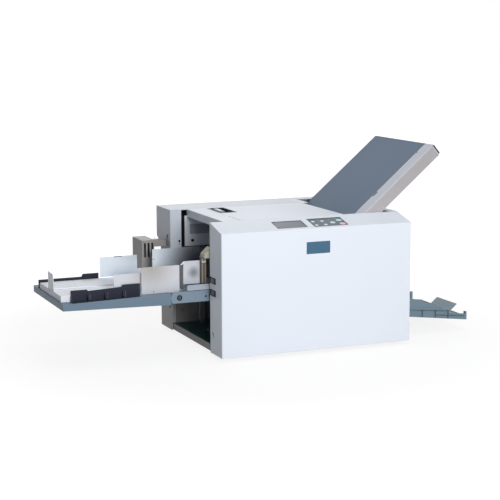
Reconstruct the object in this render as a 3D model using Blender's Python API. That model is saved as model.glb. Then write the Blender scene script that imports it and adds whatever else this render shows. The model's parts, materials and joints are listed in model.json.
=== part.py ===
"""Paper folding machine: sheet feeder on the left, folding body, delivery tray on the right.

Metres, +Z up. X runs along the front from left to right, Y from the front to the back.
"""
import bpy
import bmesh
import math
from mathutils import Matrix, Vector

# Driving sizes of the body
BODY_WIDTH = 0.700
BODY_DEPTH = 0.597
BODY_HEIGHT = 0.439
FOOT_HEIGHT = 0.012
COVER_WALL = 0.0025
SHEET = 0.0015
FRAME_PLATE = 0.0025
SEAT = 0.0003
RUN = 0.0003
CUT_OVER = 0.004
BEVEL_PROFILE = 0.5
SHARP_DEG = 35.0

# Front cover
FRONT_DEPTH = 0.105
CHAMFER_RISE = 0.0256
CHAMFER_DEPTH = 0.1025
CORNER_RADIUS = 0.004
CORNER_STEPS = 2

# Inner frames and base pan
FRONT_FRAME_GAP = 0.0025
REAR_BAY = 0.119
FRAME_LEFT = 0.014
FRAME_RIGHT_GAP = 0.014
PAN_RIM_LOW = 0.003
PAN_TOP = 0.027
PAN_INSET = 0.004
PAN_SHEET = 0.002
FOOT_RADIUS = 0.016
FOOT_INSET_X = 0.035
FOOT_INSET_Y = 0.036

# Rear cover, its upper left housing and the lower left cover
REAR_COVER_DEPTH = 0.147
HOUSING_LEFT = 0.0145
HOUSING_HEIGHT = 0.139
HOUSING_FRONT_RIGHT = 0.027
HOUSING_TAPER = 0.060
HOUSING_TAPER_HEIGHT = 0.030
LOWER_COVER_GAP = 0.002
LOWER_HOLE = 0.010
LOWER_HOLE_Y = 0.0255
LOWER_HOLE_Z = 0.081
LOWER_SLOT_HEIGHT = 0.012
LOWER_SLOT_WIDTH = 0.004
LOWER_SLOT_Z = 0.064
HOUSING_HOLE_RADIUS = 0.003
HOUSING_HOLE_X = 0.019
HOUSING_HOLE_RISE = 0.027

# Right cover with its delivery opening
DELIVERY_LOW = 0.060
DELIVERY_HIGH = 0.185
DELIVERY_EDGE = 0.020

# Upper inner panel
PANEL_LEFT = 0.039
PANEL_RISE = 0.006
PANEL_DROP = 0.022
PANEL_RIGHT = 0.1805
PANEL_HOLE_X = 0.0285
PANEL_HOLE_Z = 0.021
PANEL_HOLE_RADIUS = 0.005

# Top left panel and hinged top cover
TOP_PANEL_LEFT = 0.048
TOP_FLANGE = 0.027
LID_LEFT = 0.1145
LID_RIGHT_GAP = 0.207
LID_TURN = 0.010
HINGE_RADIUS = 0.003
HINGE_DROP = 0.010
HINGE_KNUCKLE = 0.006
HINGE_LENGTH = 0.030
HINGE_Y_SHARES = (0.12, 0.88)
HANDLE_X = 0.150
HANDLE_WIDTH = 0.054
HANDLE_SETBACK = 0.080
HANDLE_LENGTH = 0.120
HANDLE_DEPTH = 0.014
HANDLE_WALL = 0.002
HANDLE_RIM = 0.004
HANDLE_RIM_THICK = 0.0012

# Control panel on the chamfer, measured along it from its lower edge
DISPLAY_LEFT = 0.2085
DISPLAY_RIGHT = 0.317
DISPLAY_LOW = 0.0172
DISPLAY_HIGH = 0.077
KEYPAD_LEFT = 0.3415
KEYPAD_RIGHT = 0.467
KEYPAD_LOW = 0.0143
KEYPAD_HIGH = 0.0845
PANEL_THICK = 0.0015
KEY_PROUD = 0.0012
KEY_SIDES = 16
SMALL_KEY = 0.0065
MEDIUM_KEY = 0.0095
LARGE_KEY = 0.0105
KEY_SQUASH_SHARE = 0.8

# Keys: name, then the place across and along the key panel as shares of it, and the radius
KEY_PLACE_SHARES = (
    ("key_minus", 0.104, 0.650, "small"),
    ("key_plus", 0.376, 0.650, "small"),
    ("key_menu", 0.104, 0.200, "small"),
    ("key_clear", 0.376, 0.200, "small"),
    ("key_test", 0.632, 0.408, "medium"),
    ("key_start", 0.876, 0.657, "large"),
    ("key_stop", 0.876, 0.193, "large"),
)

# Switches on the front cover's left wall
SWITCH_Y = 0.078
SWITCH_WIDTH = 0.024
SWITCH_HEIGHT = 0.015
SWITCH_UPPER_Z = 0.2485
SWITCH_LOWER_Z = 0.2070
SWITCH_PROUD = 0.004
SWITCH_DEPTH = 0.008
SWITCH_PLAY = 0.0009
SWITCH_TILT_DEG = 5.0

# Feed table: plate, two arms and their pivots
ARM_RIGHT = 0.098
ARM_THICK = 0.008
ARM_LOW = 0.174
ARM_HIGH = 0.212
ARM_FRONT_Y = 0.1145
ARM_BACK_GAP = 0.0035
PIVOT_X = -0.104
PIVOT_Z = 0.192
PIVOT_RADIUS = 0.003
PIVOT_HEAD_RADIUS = 0.0055
PIVOT_HEAD = 0.0022
PIVOT_CLEAR = 0.0003
ARM_END_RADIUS = 0.0295
TABLE_TOP = 0.203
TABLE_SHEET = 0.002
TABLE_LEFT = -0.128
TABLE_INSET = 0.050
BEAM_WIDTH = 0.024
BEAM_DEPTH = 0.016
BAND_HIGH = 0.2325
BAND_LEFT = -0.077
BAND_RIGHT = 0.004

# Extension tray, folded down about the pivots
TRAY_LEFT = -0.501
TRAY_GAP = 0.0008
TRAY_FRONT_Y = 0.112
TRAY_OVERHANG = 0.009
TRAY_RIM_LEFT_Z = 0.2007
TRAY_RIM_RIGHT_Z = 0.2095
TRAY_LOW_LEFT_Z = 0.179
TRAY_LOW_RIGHT_Z = 0.171
TRAY_FLOOR_Z = 0.1995
TRAY_WALL = 0.0025
EAR_THICK = 0.0035
EAR_RADIUS = 0.012

# Sheet support slab, tail guide and the black edge guides on the tray
SLAB_LEFT = -0.496
SLAB_RIGHT = -0.236
SLAB_FRONT_Y = 0.157
SLAB_BACK_GAP = 0.054
SLAB_TOP = 0.2205
SLAB_TURN = 0.003
TAIL_THICK = 0.0015
TAIL_WIDTH = 0.050
TAIL_Y = 0.262
TAIL_TOP = 0.275
TAIL_LEAN = 0.006
TAIL_FOOT = 0.040
TAIL_TRAVEL = 0.200
TAIL_SLOT_GAP = 0.001
EDGE_GUIDE_LEFT = -0.464
EDGE_GUIDE_RIGHT = -0.228
EDGE_GUIDE_Y = 0.1545
EDGE_FLANGE_Y = 0.1175
EDGE_WALL = 0.0018
EDGE_HIGH = 0.237
EDGE_MIDDLE = 0.232
EDGE_TALL = 0.244
EDGE_STEP_SHARES = (0.0, 0.235, 0.485, 0.740, 1.0)
EDGE_RIB = 0.0022
FAR_GUIDE_LEFT = -0.498
FAR_GUIDE_RIGHT = -0.286
FAR_GUIDE_GAP = 0.0485
FAR_GUIDE_HIGH = 0.229
FAR_GUIDE_TALL = 0.2385
FAR_GUIDE_STEP_X = -0.345
FAR_GUIDE_FLANGE = 0.030

# Side fences
FENCE_SHEET = 0.0012
FENCE_Y = 0.150
FENCE_LEFT = -0.224
FENCE_SEAM_LEFT = -0.091
FENCE_SEAM_RIGHT = -0.077
FENCE_RIGHT = -0.0190
FENCE_LOW = 0.2065
FENCE_HIGH = 0.296
FENCE_UPPER_LOW = 0.2290
FENCE_UPPER_HIGH = 0.307
FENCE_SEAM_SETBACK = 0.005
FENCE_CURL = 0.006
FENCE_FOOT = 0.030
FAR_FENCE_GAP = 0.048
FAR_FENCE_LEFT = -0.281
FAR_FENCE_MIDDLE = -0.146
FAR_FENCE_STEP = -0.090
FAR_FENCE_RIGHT = 0.088
FAR_FENCE_HIGH = 0.292
FAR_FENCE_TALL = 0.307
FAR_FENCE_UPPER_LOW = 0.2430
FAR_FENCE_NOTCH = 0.003
FAR_FENCE_NOTCH_SHARES = (0.355, 0.610)
NEAR_PLATE_LEFT = -0.316
NEAR_PLATE_Y = 0.1600
NEAR_PLATE_HIGH = 0.277

# Side air box behind the tray
BLOWER_LEFT = -0.108
BLOWER_RIGHT = -0.0605
BLOWER_FRONT_GAP = 0.012
BLOWER_BACK_GAP = 0.003
BLOWER_UNDER_HOUSING = 0.088
BLOWER_OVER_HOUSING = 0.031
BLOWER_WALL = 0.002
BLOWER_SLOT_WIDTH = 0.0072
BLOWER_SLOT_PITCH = 0.0138
BLOWER_SLOT_FIRST = 0.0085
BLOWER_SLOT_HEIGHT = 0.050
BLOWER_SLOT_DROP = 0.011
BLOWER_SLOTS = 3
BLOWER_DUCT_RISE = 0.005
BLOWER_DUCT_HEIGHT = 0.024
BLOWER_DUCT_DEPTH = 0.035

# Feed post with its bracket
POST_LEFT = -0.0135
POST_WIDTH = 0.0165
POST_Y = 0.1465
POST_DEPTH = 0.016
POST_LOW = 0.212
POST_HIGH = 0.296
POST_GROOVE = 0.004
BRACKET_HIGH = 0.318
BRACKET_LOW = 0.2965
BRACKET_REACH = 0.034

# Lift guide inside the body
GUIDE_LEFT = 0.0985
GUIDE_WIDTH = 0.020
GUIDE_DEPTH = 0.014
GUIDE_GAP = 0.006

# Rollers and gears
ROLLER_PITCH = 0.0337
ROLLER_SHAFT = 0.005
NIP_SETBACK = 0.184
NIP_DROP = 0.139
PLATE_ANGLE_DEG = 40.2
ROLLER_SIDES = 24
ROLLER_END_GAP = 0.006
GEAR_TEETH = 16
PINION_TEETH = 10
GEARED_ROLLERS = 2
GEAR_WIDTH = 0.008
GEAR_GAP = 0.003
TOOTH_HEIGHT_SHARE = 0.75
TOOTH_ROOT_SHARE = 1.0
TOOTH_BASE_SHARE = 0.40
TOOTH_TIP_SHARE = 0.18
TOOTH_WIDTH_SHARE = 0.75
MOTOR_RADIUS = 0.028
MOTOR_LENGTH = 0.072
MOTOR_LEG = 0.006
DRUM_X = 0.150
DRUM_DROP = 0.108
DRUM_RADIUS = 0.024
DRUM_LENGTH = 0.190
SUCTION_WALL = 0.002
SUCTION_LEFT = 0.182
SUCTION_RIGHT_SHARE = 0.3756
SUCTION_UNDER_DRUM = 0.019
SUCTION_OVER_DRUM = 0.057
DELIVERY_ROLLER_GAP = 0.045
DELIVERY_ROLLER_Z = 0.120
DELIVERY_ROLLER_RADIUS = 0.014

# Fold plate 1, measured along its slope (S) and square to it (N)
CHUTE_TOP_GAP = 0.121
PLATE_LENGTH = 0.344
PLATE_FRONT_Y = 0.108
PLATE_BACK_GAP = 0.052
PLATE_BORDER = 0.059
PLATE_THICK = 0.042
PLATE_DARK_THICK = 0.0025
PLATE_DIP = 0.020
PANEL_DIP = 0.045
PLATE_SIDE_WALL = 0.002
PLATE_CAP = 0.006
PLATE_CAP_DROP = 0.038
CHUTE_GAP = 0.0035
CHUTE_SHEET = 0.0015
CHUTE_FRONT_Y = 0.124
CHUTE_BACK_GAP = 0.014
CHUTE_START = 0.048
STOP_BAR = 0.0048
STOP_PLACE = 0.170

# Fold plate 2, down to the left from the fold rollers
LOWER_PLATE_LENGTH = 0.170
LOWER_PLATE_START = 0.040

# Opening in the top for fold plate 1
TOP_HOLE_GAP = 0.028
TOP_HOLE_MARGIN = 0.004

# Paper guides
GUIDE_SHEET = 0.0015
GUIDE_SPLIT = 0.0035

# Suction fan at the bottom of the body
FAN_X = 0.190
FAN_RADIUS = 0.042
FAN_BOX = 0.100
FAN_DEPTH = 0.060
FAN_WALL = 0.004
FAN_SETBACK = 0.078
FAN_BLADES = 8
FAN_HUB = 0.012
FAN_BLADE_THICK = 0.002

# Mains inlet on the back
INLET_GAP = 0.100
INLET_Z = 0.070
INLET_WIDTH = 0.030
INLET_HEIGHT = 0.022
INLET_DEPTH = 0.020
INLET_FLANGE = 0.005
INLET_PIN = 0.0024

# Delivery tray on the right
TRAY2_GAP = 0.0035
TRAY2_LENGTH = 0.2965
TRAY2_FRONT_Y = 0.118
TRAY2_BACK_GAP = 0.028
TRAY2_BASE_LEFT_Z = 0.062
TRAY2_SLOPE_SHARE = -0.125
TRAY2_WALL_HEIGHT = 0.025
TRAY2_WALL = 0.003
TRAY2_STEP_LENGTH = 0.079
TRAY2_STEP_DROP = 0.004
TRAY2_FLANK_TOP = 0.130
TRAY2_FLANK_END = 0.068
TRAY2_POST_TOP = 0.145
TRAY2_POST_SETBACK = 0.0645
TRAY2_POST_WIDTH = 0.009
TRAY2_LIP = 0.006
TRAY2_LIP_HEIGHT = 0.030
TRAY2_RIB = 0.004
TRAY2_RIB_PROUD = 0.003
TRAY2_RIB_SHARES = (0.36594, 0.55481, 0.73356)
TRAY2_HOOK = 0.012

# Tilted stopper on the delivery tray
STOPPER_SETBACK = 0.095
STOPPER_Y = 0.190
STOPPER_LENGTH = 0.088
STOPPER_WIDTH = 0.062
STOPPER_THICK = 0.002
STOPPER_LEAN_DEG = 52.0
STOPPER_HOLE = 0.004
STOPPER_HOLE_SHARES = (0.25, 0.75)

# Derived values
FRONT_FACE_HEIGHT = BODY_HEIGHT - CHAMFER_RISE
REAR_FRAME_Y = BODY_DEPTH - REAR_BAY
FRAME_RIGHT = BODY_WIDTH - FRAME_RIGHT_GAP
TOP_SEAM_Y = BODY_DEPTH - REAR_COVER_DEPTH
HOUSING_LOW = BODY_HEIGHT - HOUSING_HEIGHT
HOUSING_HOLE_Z = HOUSING_LOW + HOUSING_HOLE_RISE
LOWER_COVER_TOP = HOUSING_LOW - LOWER_COVER_GAP
PANEL_LOW = HOUSING_LOW + PANEL_RISE
PANEL_HIGH = BODY_HEIGHT - PANEL_DROP
TOP_FLANGE_LOW = BODY_HEIGHT - TOP_FLANGE
LID_RIGHT = BODY_WIDTH - LID_RIGHT_GAP
HANDLE_Y = TOP_SEAM_Y - HANDLE_SETBACK
TRAY_BACK_Y = REAR_FRAME_Y + TRAY_OVERHANG
SLAB_BACK_Y = REAR_FRAME_Y - SLAB_BACK_GAP
FAR_GUIDE_Y = REAR_FRAME_Y - FAR_GUIDE_GAP
FAR_FENCE_Y = REAR_FRAME_Y - FAR_FENCE_GAP
BLOWER_FRONT_Y = REAR_FRAME_Y + BLOWER_FRONT_GAP
BLOWER_BACK_Y = BODY_DEPTH - BLOWER_BACK_GAP
BLOWER_LOW = HOUSING_LOW - BLOWER_UNDER_HOUSING
BLOWER_HIGH = HOUSING_LOW + BLOWER_OVER_HOUSING
BLOWER_DUCT_LOW = HOUSING_LOW + BLOWER_DUCT_RISE
BLOWER_DUCT_HIGH = BLOWER_DUCT_LOW + BLOWER_DUCT_HEIGHT
GUIDE_HIGH = PANEL_LOW - GUIDE_GAP
CHUTE_TOP_X = BODY_WIDTH - CHUTE_TOP_GAP
CHUTE_BACK_Y = REAR_FRAME_Y - CHUTE_BACK_GAP
PLATE_BACK_Y = BODY_DEPTH - PLATE_BACK_GAP
TOP_HOLE_RIGHT = BODY_WIDTH - TOP_HOLE_GAP
NIP_X = CHUTE_TOP_X - NIP_SETBACK
NIP_Z = BODY_HEIGHT - NIP_DROP
DRUM_Z = BODY_HEIGHT - DRUM_DROP
SUCTION_RIGHT = SUCTION_LEFT + SUCTION_RIGHT_SHARE * (NIP_X - SUCTION_LEFT)
SUCTION_LOW = DRUM_Z - SUCTION_UNDER_DRUM
SUCTION_HIGH = DRUM_Z + SUCTION_OVER_DRUM
DELIVERY_ROLLER_X = BODY_WIDTH - DELIVERY_ROLLER_GAP
FAN_Y = REAR_FRAME_Y - FAN_SETBACK
INLET_X = BODY_WIDTH - INLET_GAP
TRAY2_LEFT = BODY_WIDTH + TRAY2_GAP
TRAY2_RIGHT = TRAY2_LEFT + TRAY2_LENGTH
TRAY2_BACK_Y = REAR_FRAME_Y - TRAY2_BACK_GAP
TRAY2_STEP_X = TRAY2_RIGHT - TRAY2_STEP_LENGTH
TRAY2_POST_X = TRAY2_LEFT + TRAY2_POST_SETBACK
STOPPER_X = TRAY2_RIGHT - STOPPER_SETBACK
LID_FRONT_Y = FRONT_DEPTH + RUN
SLOPE = math.radians(PLATE_ANGLE_DEG)
ALONG = Vector((math.cos(SLOPE), 0, math.sin(SLOPE)))
SQUARE = Vector((-math.sin(SLOPE), 0, math.cos(SLOPE)))
FRONT_FRAME_Y = FRONT_DEPTH + FRONT_FRAME_GAP
INNER_FRONT = FRONT_FRAME_Y + FRAME_PLATE
CHAMFER_ANGLE = math.atan2(CHAMFER_RISE, CHAMFER_DEPTH)
GEAR_RADIUS = ROLLER_PITCH / 2
PINION_RADIUS = GEAR_RADIUS * PINION_TEETH / GEAR_TEETH
ROLLER_RADIUS = GEAR_RADIUS - SEAT / 2
FRAME_TOP = BODY_HEIGHT - PLATE_DIP * math.sin(SLOPE) - PLATE_THICK * math.cos(SLOPE) - SEAT
FAN_Z = PAN_TOP + SEAT + FAN_BOX / 2
LEFT_END = TRAY_LEFT
RIGHT_END = TRAY2_RIGHT
BACK_END = BODY_DEPTH + COVER_WALL

COLOURS = {
    "white_cover": ((0.79, 0.84, 0.92), 0.45, 0.0),
    "grey_cover": ((0.30, 0.31, 0.33), 0.5, 0.0),
    "blue_grey": ((0.19, 0.26, 0.32), 0.45, 0.0),
    "dark_panel": ((0.16, 0.20, 0.25), 0.5, 0.0),
    "light_border": ((0.55, 0.57, 0.65), 0.45, 0.0),
    "black": ((0.025, 0.025, 0.035), 0.5, 0.0),
    "steel": ((0.62, 0.63, 0.65), 0.3, 1.0),
    "zinc": ((0.45, 0.46, 0.48), 0.4, 1.0),
    "dark_floor": ((0.02, 0.045, 0.042), 0.5, 0.0),
    "white_slab": ((0.80, 0.83, 0.88), 0.5, 0.0),
    "rubber": ((0.03, 0.03, 0.03), 0.8, 0.0),
    "beige": ((0.40, 0.38, 0.34), 0.5, 0.0),
    "display": ((0.24, 0.28, 0.30), 0.2, 0.0),
    "key_white": ((0.80, 0.84, 0.86), 0.4, 0.0),
    "key_cyan": ((0.60, 0.80, 0.85), 0.4, 0.0),
    "key_pink": ((0.85, 0.62, 0.66), 0.4, 0.0),
}

MACHINE = None
MATERIALS = {}


def clear_scene():
    for item in list(bpy.data.objects):
        bpy.data.objects.remove(item, do_unlink=True)


def material(name):
    if name not in MATERIALS:
        colour, roughness, metallic = COLOURS[name]
        made = bpy.data.materials.new(name)
        made.use_nodes = True
        shader = made.node_tree.nodes["Principled BSDF"]
        shader.inputs["Base Color"].default_value = (*colour, 1.0)
        shader.inputs["Roughness"].default_value = roughness
        shader.inputs["Metallic"].default_value = metallic
        MATERIALS[name] = made
    return MATERIALS[name]


def add_object(name, mesh_maker, finish, pivot=(0, 0, 0), smooth=False):
    """Make one named piece; its origin is at pivot and its mesh is modelled in machine coordinates."""
    mesh = bpy.data.meshes.new(name)
    made = bmesh.new()
    mesh_maker(made)
    bmesh.ops.recalc_face_normals(made, faces=made.faces)
    bmesh.ops.translate(made, verts=made.verts, vec=-Vector(pivot))
    made.to_mesh(mesh)
    made.free()
    piece = bpy.data.objects.new(name, mesh)
    bpy.context.scene.collection.objects.link(piece)
    piece.location = pivot
    piece.parent = MACHINE
    own = material(finish).copy()
    own.name = name
    mesh.materials.append(own)
    if smooth:
        mesh.shade_smooth()
        mesh.set_sharp_from_angle(angle=math.radians(SHARP_DEG))
    return piece


def boolean(piece, cutter, operation):
    step = piece.modifiers.new(operation.lower(), "BOOLEAN")
    step.operation = operation
    step.solver = "EXACT"
    step.use_self = True
    step.object = cutter
    cutter.hide_render = True
    cutter.display_type = "WIRE"


def cut(piece, mesh_maker):
    boolean(piece, add_object(piece.name + "_cutter", mesh_maker, "zinc"), "DIFFERENCE")


def join(piece, mesh_maker):
    boolean(piece, add_object(piece.name + "_joined", mesh_maker, "zinc"), "UNION")


def block(made, x, y, z):
    """Box between the pairs x, y and z."""
    grown = bmesh.ops.create_cube(made, size=1.0)["verts"]
    size = Vector((x[1] - x[0], y[1] - y[0], z[1] - z[0]))
    middle = Vector((x[0] + x[1], y[0] + y[1], z[0] + z[1])) / 2
    bmesh.ops.scale(made, verts=grown, vec=size)
    bmesh.ops.translate(made, verts=grown, vec=middle)
    return grown


def prism(made, points, axis, start, end):
    """Extrude a closed outline along axis; the points give the two other axes in X, Y, Z order."""
    def place(pair, along):
        corner = list(pair)
        corner.insert("xyz".index(axis), along)
        return corner
    ring = [made.verts.new(place(pair, start)) for pair in points]
    face = made.faces.new(ring)
    grown = bmesh.ops.extrude_face_region(made, geom=[face])["geom"]
    moved = [item for item in grown if isinstance(item, bmesh.types.BMVert)]
    offset = Vector((0, 0, 0))
    offset["xyz".index(axis)] = end - start
    bmesh.ops.translate(made, verts=moved, vec=offset)


def rod(made, axis, centre, radius, start, end, sides=ROLLER_SIDES, tip=None):
    """Cylinder along axis; centre gives the two other axes in X, Y, Z order."""
    tip = radius if tip is None else tip
    grown = bmesh.ops.create_cone(made, cap_ends=True, segments=sides, radius1=radius,
                                  radius2=tip, depth=end - start)["verts"]
    turn = {"x": Matrix.Rotation(math.pi / 2, 3, "Y"),
            "y": Matrix.Rotation(-math.pi / 2, 3, "X"),
            "z": Matrix.Identity(3)}[axis]
    bmesh.ops.rotate(made, verts=grown, cent=(0, 0, 0), matrix=turn)
    middle = list(centre)
    middle.insert("xyz".index(axis), (start + end) / 2)
    bmesh.ops.translate(made, verts=grown, vec=middle)


def arc(centre, radius, start_deg, end_deg, steps):
    """Points of an arc, both ends included."""
    turns = [math.radians(start_deg + (end_deg - start_deg) * i / steps) for i in range(steps + 1)]
    return [(centre[0] + radius * math.cos(t), centre[1] + radius * math.sin(t)) for t in turns]


def sloped(made, along, y, square, origin, direction, normal):
    """Box in a sloped frame: pairs along the slope, across in Y, and square to the slope."""
    grown = block(made, along, y, square)
    turn = Matrix((direction, (0, 1, 0), normal)).transposed()
    bmesh.ops.transform(made, verts=grown, matrix=turn.to_4x4())
    bmesh.ops.translate(made, verts=grown, vec=origin)


# Covers
def chamfer_point(across, along, proud=0.0):
    """Point on the chamfer, measured up its slope from its lower edge."""
    return Vector((across,
                   along * math.cos(CHAMFER_ANGLE) - proud * math.sin(CHAMFER_ANGLE),
                   FRONT_FACE_HEIGHT + along * math.sin(CHAMFER_ANGLE) + proud * math.cos(CHAMFER_ANGLE)))


def chamfer_block(made, x, along, depth):
    """Box lying in the chamfer; depth is square to it, positive outwards."""
    grown = block(made, x, along, depth)
    turn = Matrix.Rotation(CHAMFER_ANGLE, 4, "X")
    bmesh.ops.transform(made, verts=grown, matrix=turn)
    bmesh.ops.translate(made, verts=grown, vec=(0, 0, FRONT_FACE_HEIGHT))


def round_upright_corners(made, radius, at_front):
    edges = [e for e in made.edges
             if abs(e.verts[0].co.z - e.verts[1].co.z) > radius
             and abs(e.verts[0].co.x - e.verts[1].co.x) < radius
             and at_front(e.verts[0].co) and at_front(e.verts[1].co)]
    bmesh.ops.bevel(made, geom=edges, offset=radius, offset_type="OFFSET", segments=CORNER_STEPS,
                    profile=BEVEL_PROFILE, affect="EDGES", material=-1)


def make_front_cover():
    outer = [(0, 0), (0, FRONT_FACE_HEIGHT), (CHAMFER_DEPTH, BODY_HEIGHT),
             (FRONT_DEPTH, BODY_HEIGHT), (FRONT_DEPTH, 0)]
    wall = COVER_WALL
    slant = wall / math.cos(CHAMFER_ANGLE)
    inner = [(wall, -CUT_OVER),
             (wall, FRONT_FACE_HEIGHT - slant + wall * math.tan(CHAMFER_ANGLE)),
             (CHAMFER_DEPTH, BODY_HEIGHT - slant),
             (FRONT_DEPTH + CUT_OVER, BODY_HEIGHT - slant),
             (FRONT_DEPTH + CUT_OVER, -CUT_OVER)]

    def shell(made):
        prism(made, outer, "x", 0, BODY_WIDTH)
        round_upright_corners(made, CORNER_RADIUS, lambda co: co.y < wall)

    def hollow(made):
        prism(made, inner, "x", wall, BODY_WIDTH - wall)

    def windows(made):
        chamfer_block(made, (DISPLAY_LEFT, DISPLAY_RIGHT), (DISPLAY_LOW, DISPLAY_HIGH), (-2 * wall, wall))
        chamfer_block(made, (KEYPAD_LEFT, KEYPAD_RIGHT), (KEYPAD_LOW, KEYPAD_HIGH), (-2 * wall, wall))
        for z in (SWITCH_UPPER_Z, SWITCH_LOWER_Z):
            block(made, (-wall, 2 * wall), (SWITCH_Y - SWITCH_WIDTH / 2, SWITCH_Y + SWITCH_WIDTH / 2),
                  (z - SWITCH_HEIGHT / 2, z + SWITCH_HEIGHT / 2))

    cover = add_object("front_cover", shell, "white_cover")
    cut(cover, hollow)
    boolean(cover, add_object("front_cover_windows", windows, "zinc"), "DIFFERENCE")


def make_rear_cover():
    wall = COVER_WALL
    left = -HOUSING_LEFT
    top = BODY_HEIGHT
    side = [(TOP_SEAM_Y, HOUSING_LOW), (TOP_SEAM_Y, top), (BODY_DEPTH, top),
            (BODY_DEPTH, HOUSING_LOW + HOUSING_TAPER_HEIGHT),
            (BODY_DEPTH - HOUSING_TAPER, HOUSING_LOW)]

    def top_sheet(made):
        block(made, (left, BODY_WIDTH), (TOP_SEAM_Y, BODY_DEPTH), (top - wall, top))

    def others(made):
        prism(made, side, "x", left, left + wall)
        block(made, (left, HOUSING_FRONT_RIGHT), (TOP_SEAM_Y, TOP_SEAM_Y + wall), (HOUSING_LOW, top))

    def back(made):
        block(made, (left, BODY_WIDTH), (BODY_DEPTH - wall, BODY_DEPTH),
              (HOUSING_LOW + HOUSING_TAPER_HEIGHT, top))
        block(made, (SEAT, BODY_WIDTH), (BODY_DEPTH - wall, BODY_DEPTH), (0, top - wall / 2))

    def sill(made):
        block(made, (left, 0), (TOP_SEAM_Y, BODY_DEPTH - HOUSING_TAPER), (HOUSING_LOW, HOUSING_LOW + wall))

    def holes(made):
        rod(made, "y", (HOUSING_HOLE_X, HOUSING_HOLE_Z), HOUSING_HOLE_RADIUS,
            TOP_SEAM_Y - CUT_OVER, TOP_SEAM_Y + CUT_OVER, KEY_SIDES)
        rod(made, "y", (HOUSING_HOLE_X, HOUSING_HOLE_Z - BRACKET_REACH / 3), HOUSING_HOLE_RADIUS / 2,
            TOP_SEAM_Y - CUT_OVER, TOP_SEAM_Y + CUT_OVER, KEY_SIDES)
        block(made, (LID_RIGHT, TOP_HOLE_RIGHT),
              (TOP_SEAM_Y - CUT_OVER, PLATE_BACK_Y + TOP_HOLE_MARGIN), (top - 2 * wall, top + wall))
        block(made, (INLET_X - INLET_WIDTH / 2, INLET_X + INLET_WIDTH / 2),
              (BODY_DEPTH - 2 * wall, BODY_DEPTH + wall),
              (INLET_Z - INLET_HEIGHT / 2, INLET_Z + INLET_HEIGHT / 2))

    cover = add_object("rear_cover", top_sheet, "white_cover")
    join(cover, others)
    boolean(cover, add_object("rear_cover_back", back, "zinc"), "UNION")
    boolean(cover, add_object("rear_cover_sill", sill, "zinc"), "UNION")
    boolean(cover, add_object("rear_cover_holes", holes, "zinc"), "DIFFERENCE")


def make_lower_left_cover():
    wall = COVER_WALL
    high = LOWER_COVER_TOP
    back = BODY_DEPTH - wall - SEAT

    def side(made):
        block(made, (0, wall), (REAR_FRAME_Y + FRAME_PLATE + SEAT, back), (0, high))

    def front(made):
        block(made, (0, FRAME_LEFT - SEAT), (REAR_FRAME_Y, REAR_FRAME_Y + wall + FRAME_PLATE),
              (PAN_TOP + SEAT, high))

    def holes(made):
        y = REAR_FRAME_Y + LOWER_HOLE_Y
        block(made, (-wall, 2 * wall), (y - LOWER_HOLE / 2, y + LOWER_HOLE / 2),
              (LOWER_HOLE_Z - LOWER_HOLE / 2, LOWER_HOLE_Z + LOWER_HOLE / 2))
        block(made, (-wall, 2 * wall), (y - LOWER_SLOT_WIDTH / 2, y + LOWER_SLOT_WIDTH / 2),
              (LOWER_SLOT_Z - LOWER_SLOT_HEIGHT / 2, LOWER_SLOT_Z + LOWER_SLOT_HEIGHT / 2))

    cover = add_object("lower_left_cover", side, "grey_cover")
    join(cover, front)
    cut(cover, holes)


def make_right_cover():
    wall = COVER_WALL

    def sheet(made):
        block(made, (BODY_WIDTH - wall, BODY_WIDTH), (FRONT_DEPTH + SEAT, BODY_DEPTH - wall - SEAT),
              (0, BODY_HEIGHT - wall - SEAT))

    def opening(made):
        block(made, (BODY_WIDTH - 2 * wall, BODY_WIDTH + wall),
              (INNER_FRONT + DELIVERY_EDGE, REAR_FRAME_Y - DELIVERY_EDGE), (DELIVERY_LOW, DELIVERY_HIGH))

    def flange(made):
        y = (FRONT_DEPTH + SEAT, TOP_SEAM_Y - SEAT)
        block(made, (TOP_HOLE_RIGHT, BODY_WIDTH), y, (BODY_HEIGHT - wall, BODY_HEIGHT))
        block(made, (BODY_WIDTH - wall, BODY_WIDTH), y, (BODY_HEIGHT - 2 * wall, BODY_HEIGHT))

    cover = add_object("right_cover", sheet, "white_cover")
    join(cover, flange)
    cut(cover, opening)


def make_top_covers():
    wall = COVER_WALL
    seam = TOP_SEAM_Y - SEAT

    def strip(made):
        block(made, (TOP_PANEL_LEFT, LID_LEFT - RUN), (LID_FRONT_Y, seam), (BODY_HEIGHT - wall, BODY_HEIGHT))

    def flange(made):
        block(made, (TOP_PANEL_LEFT, TOP_PANEL_LEFT + wall), (LID_FRONT_Y, seam), (TOP_FLANGE_LOW, BODY_HEIGHT))

    panel = add_object("top_left_panel", strip, "white_cover")
    join(panel, flange)
    make_lid()


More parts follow.
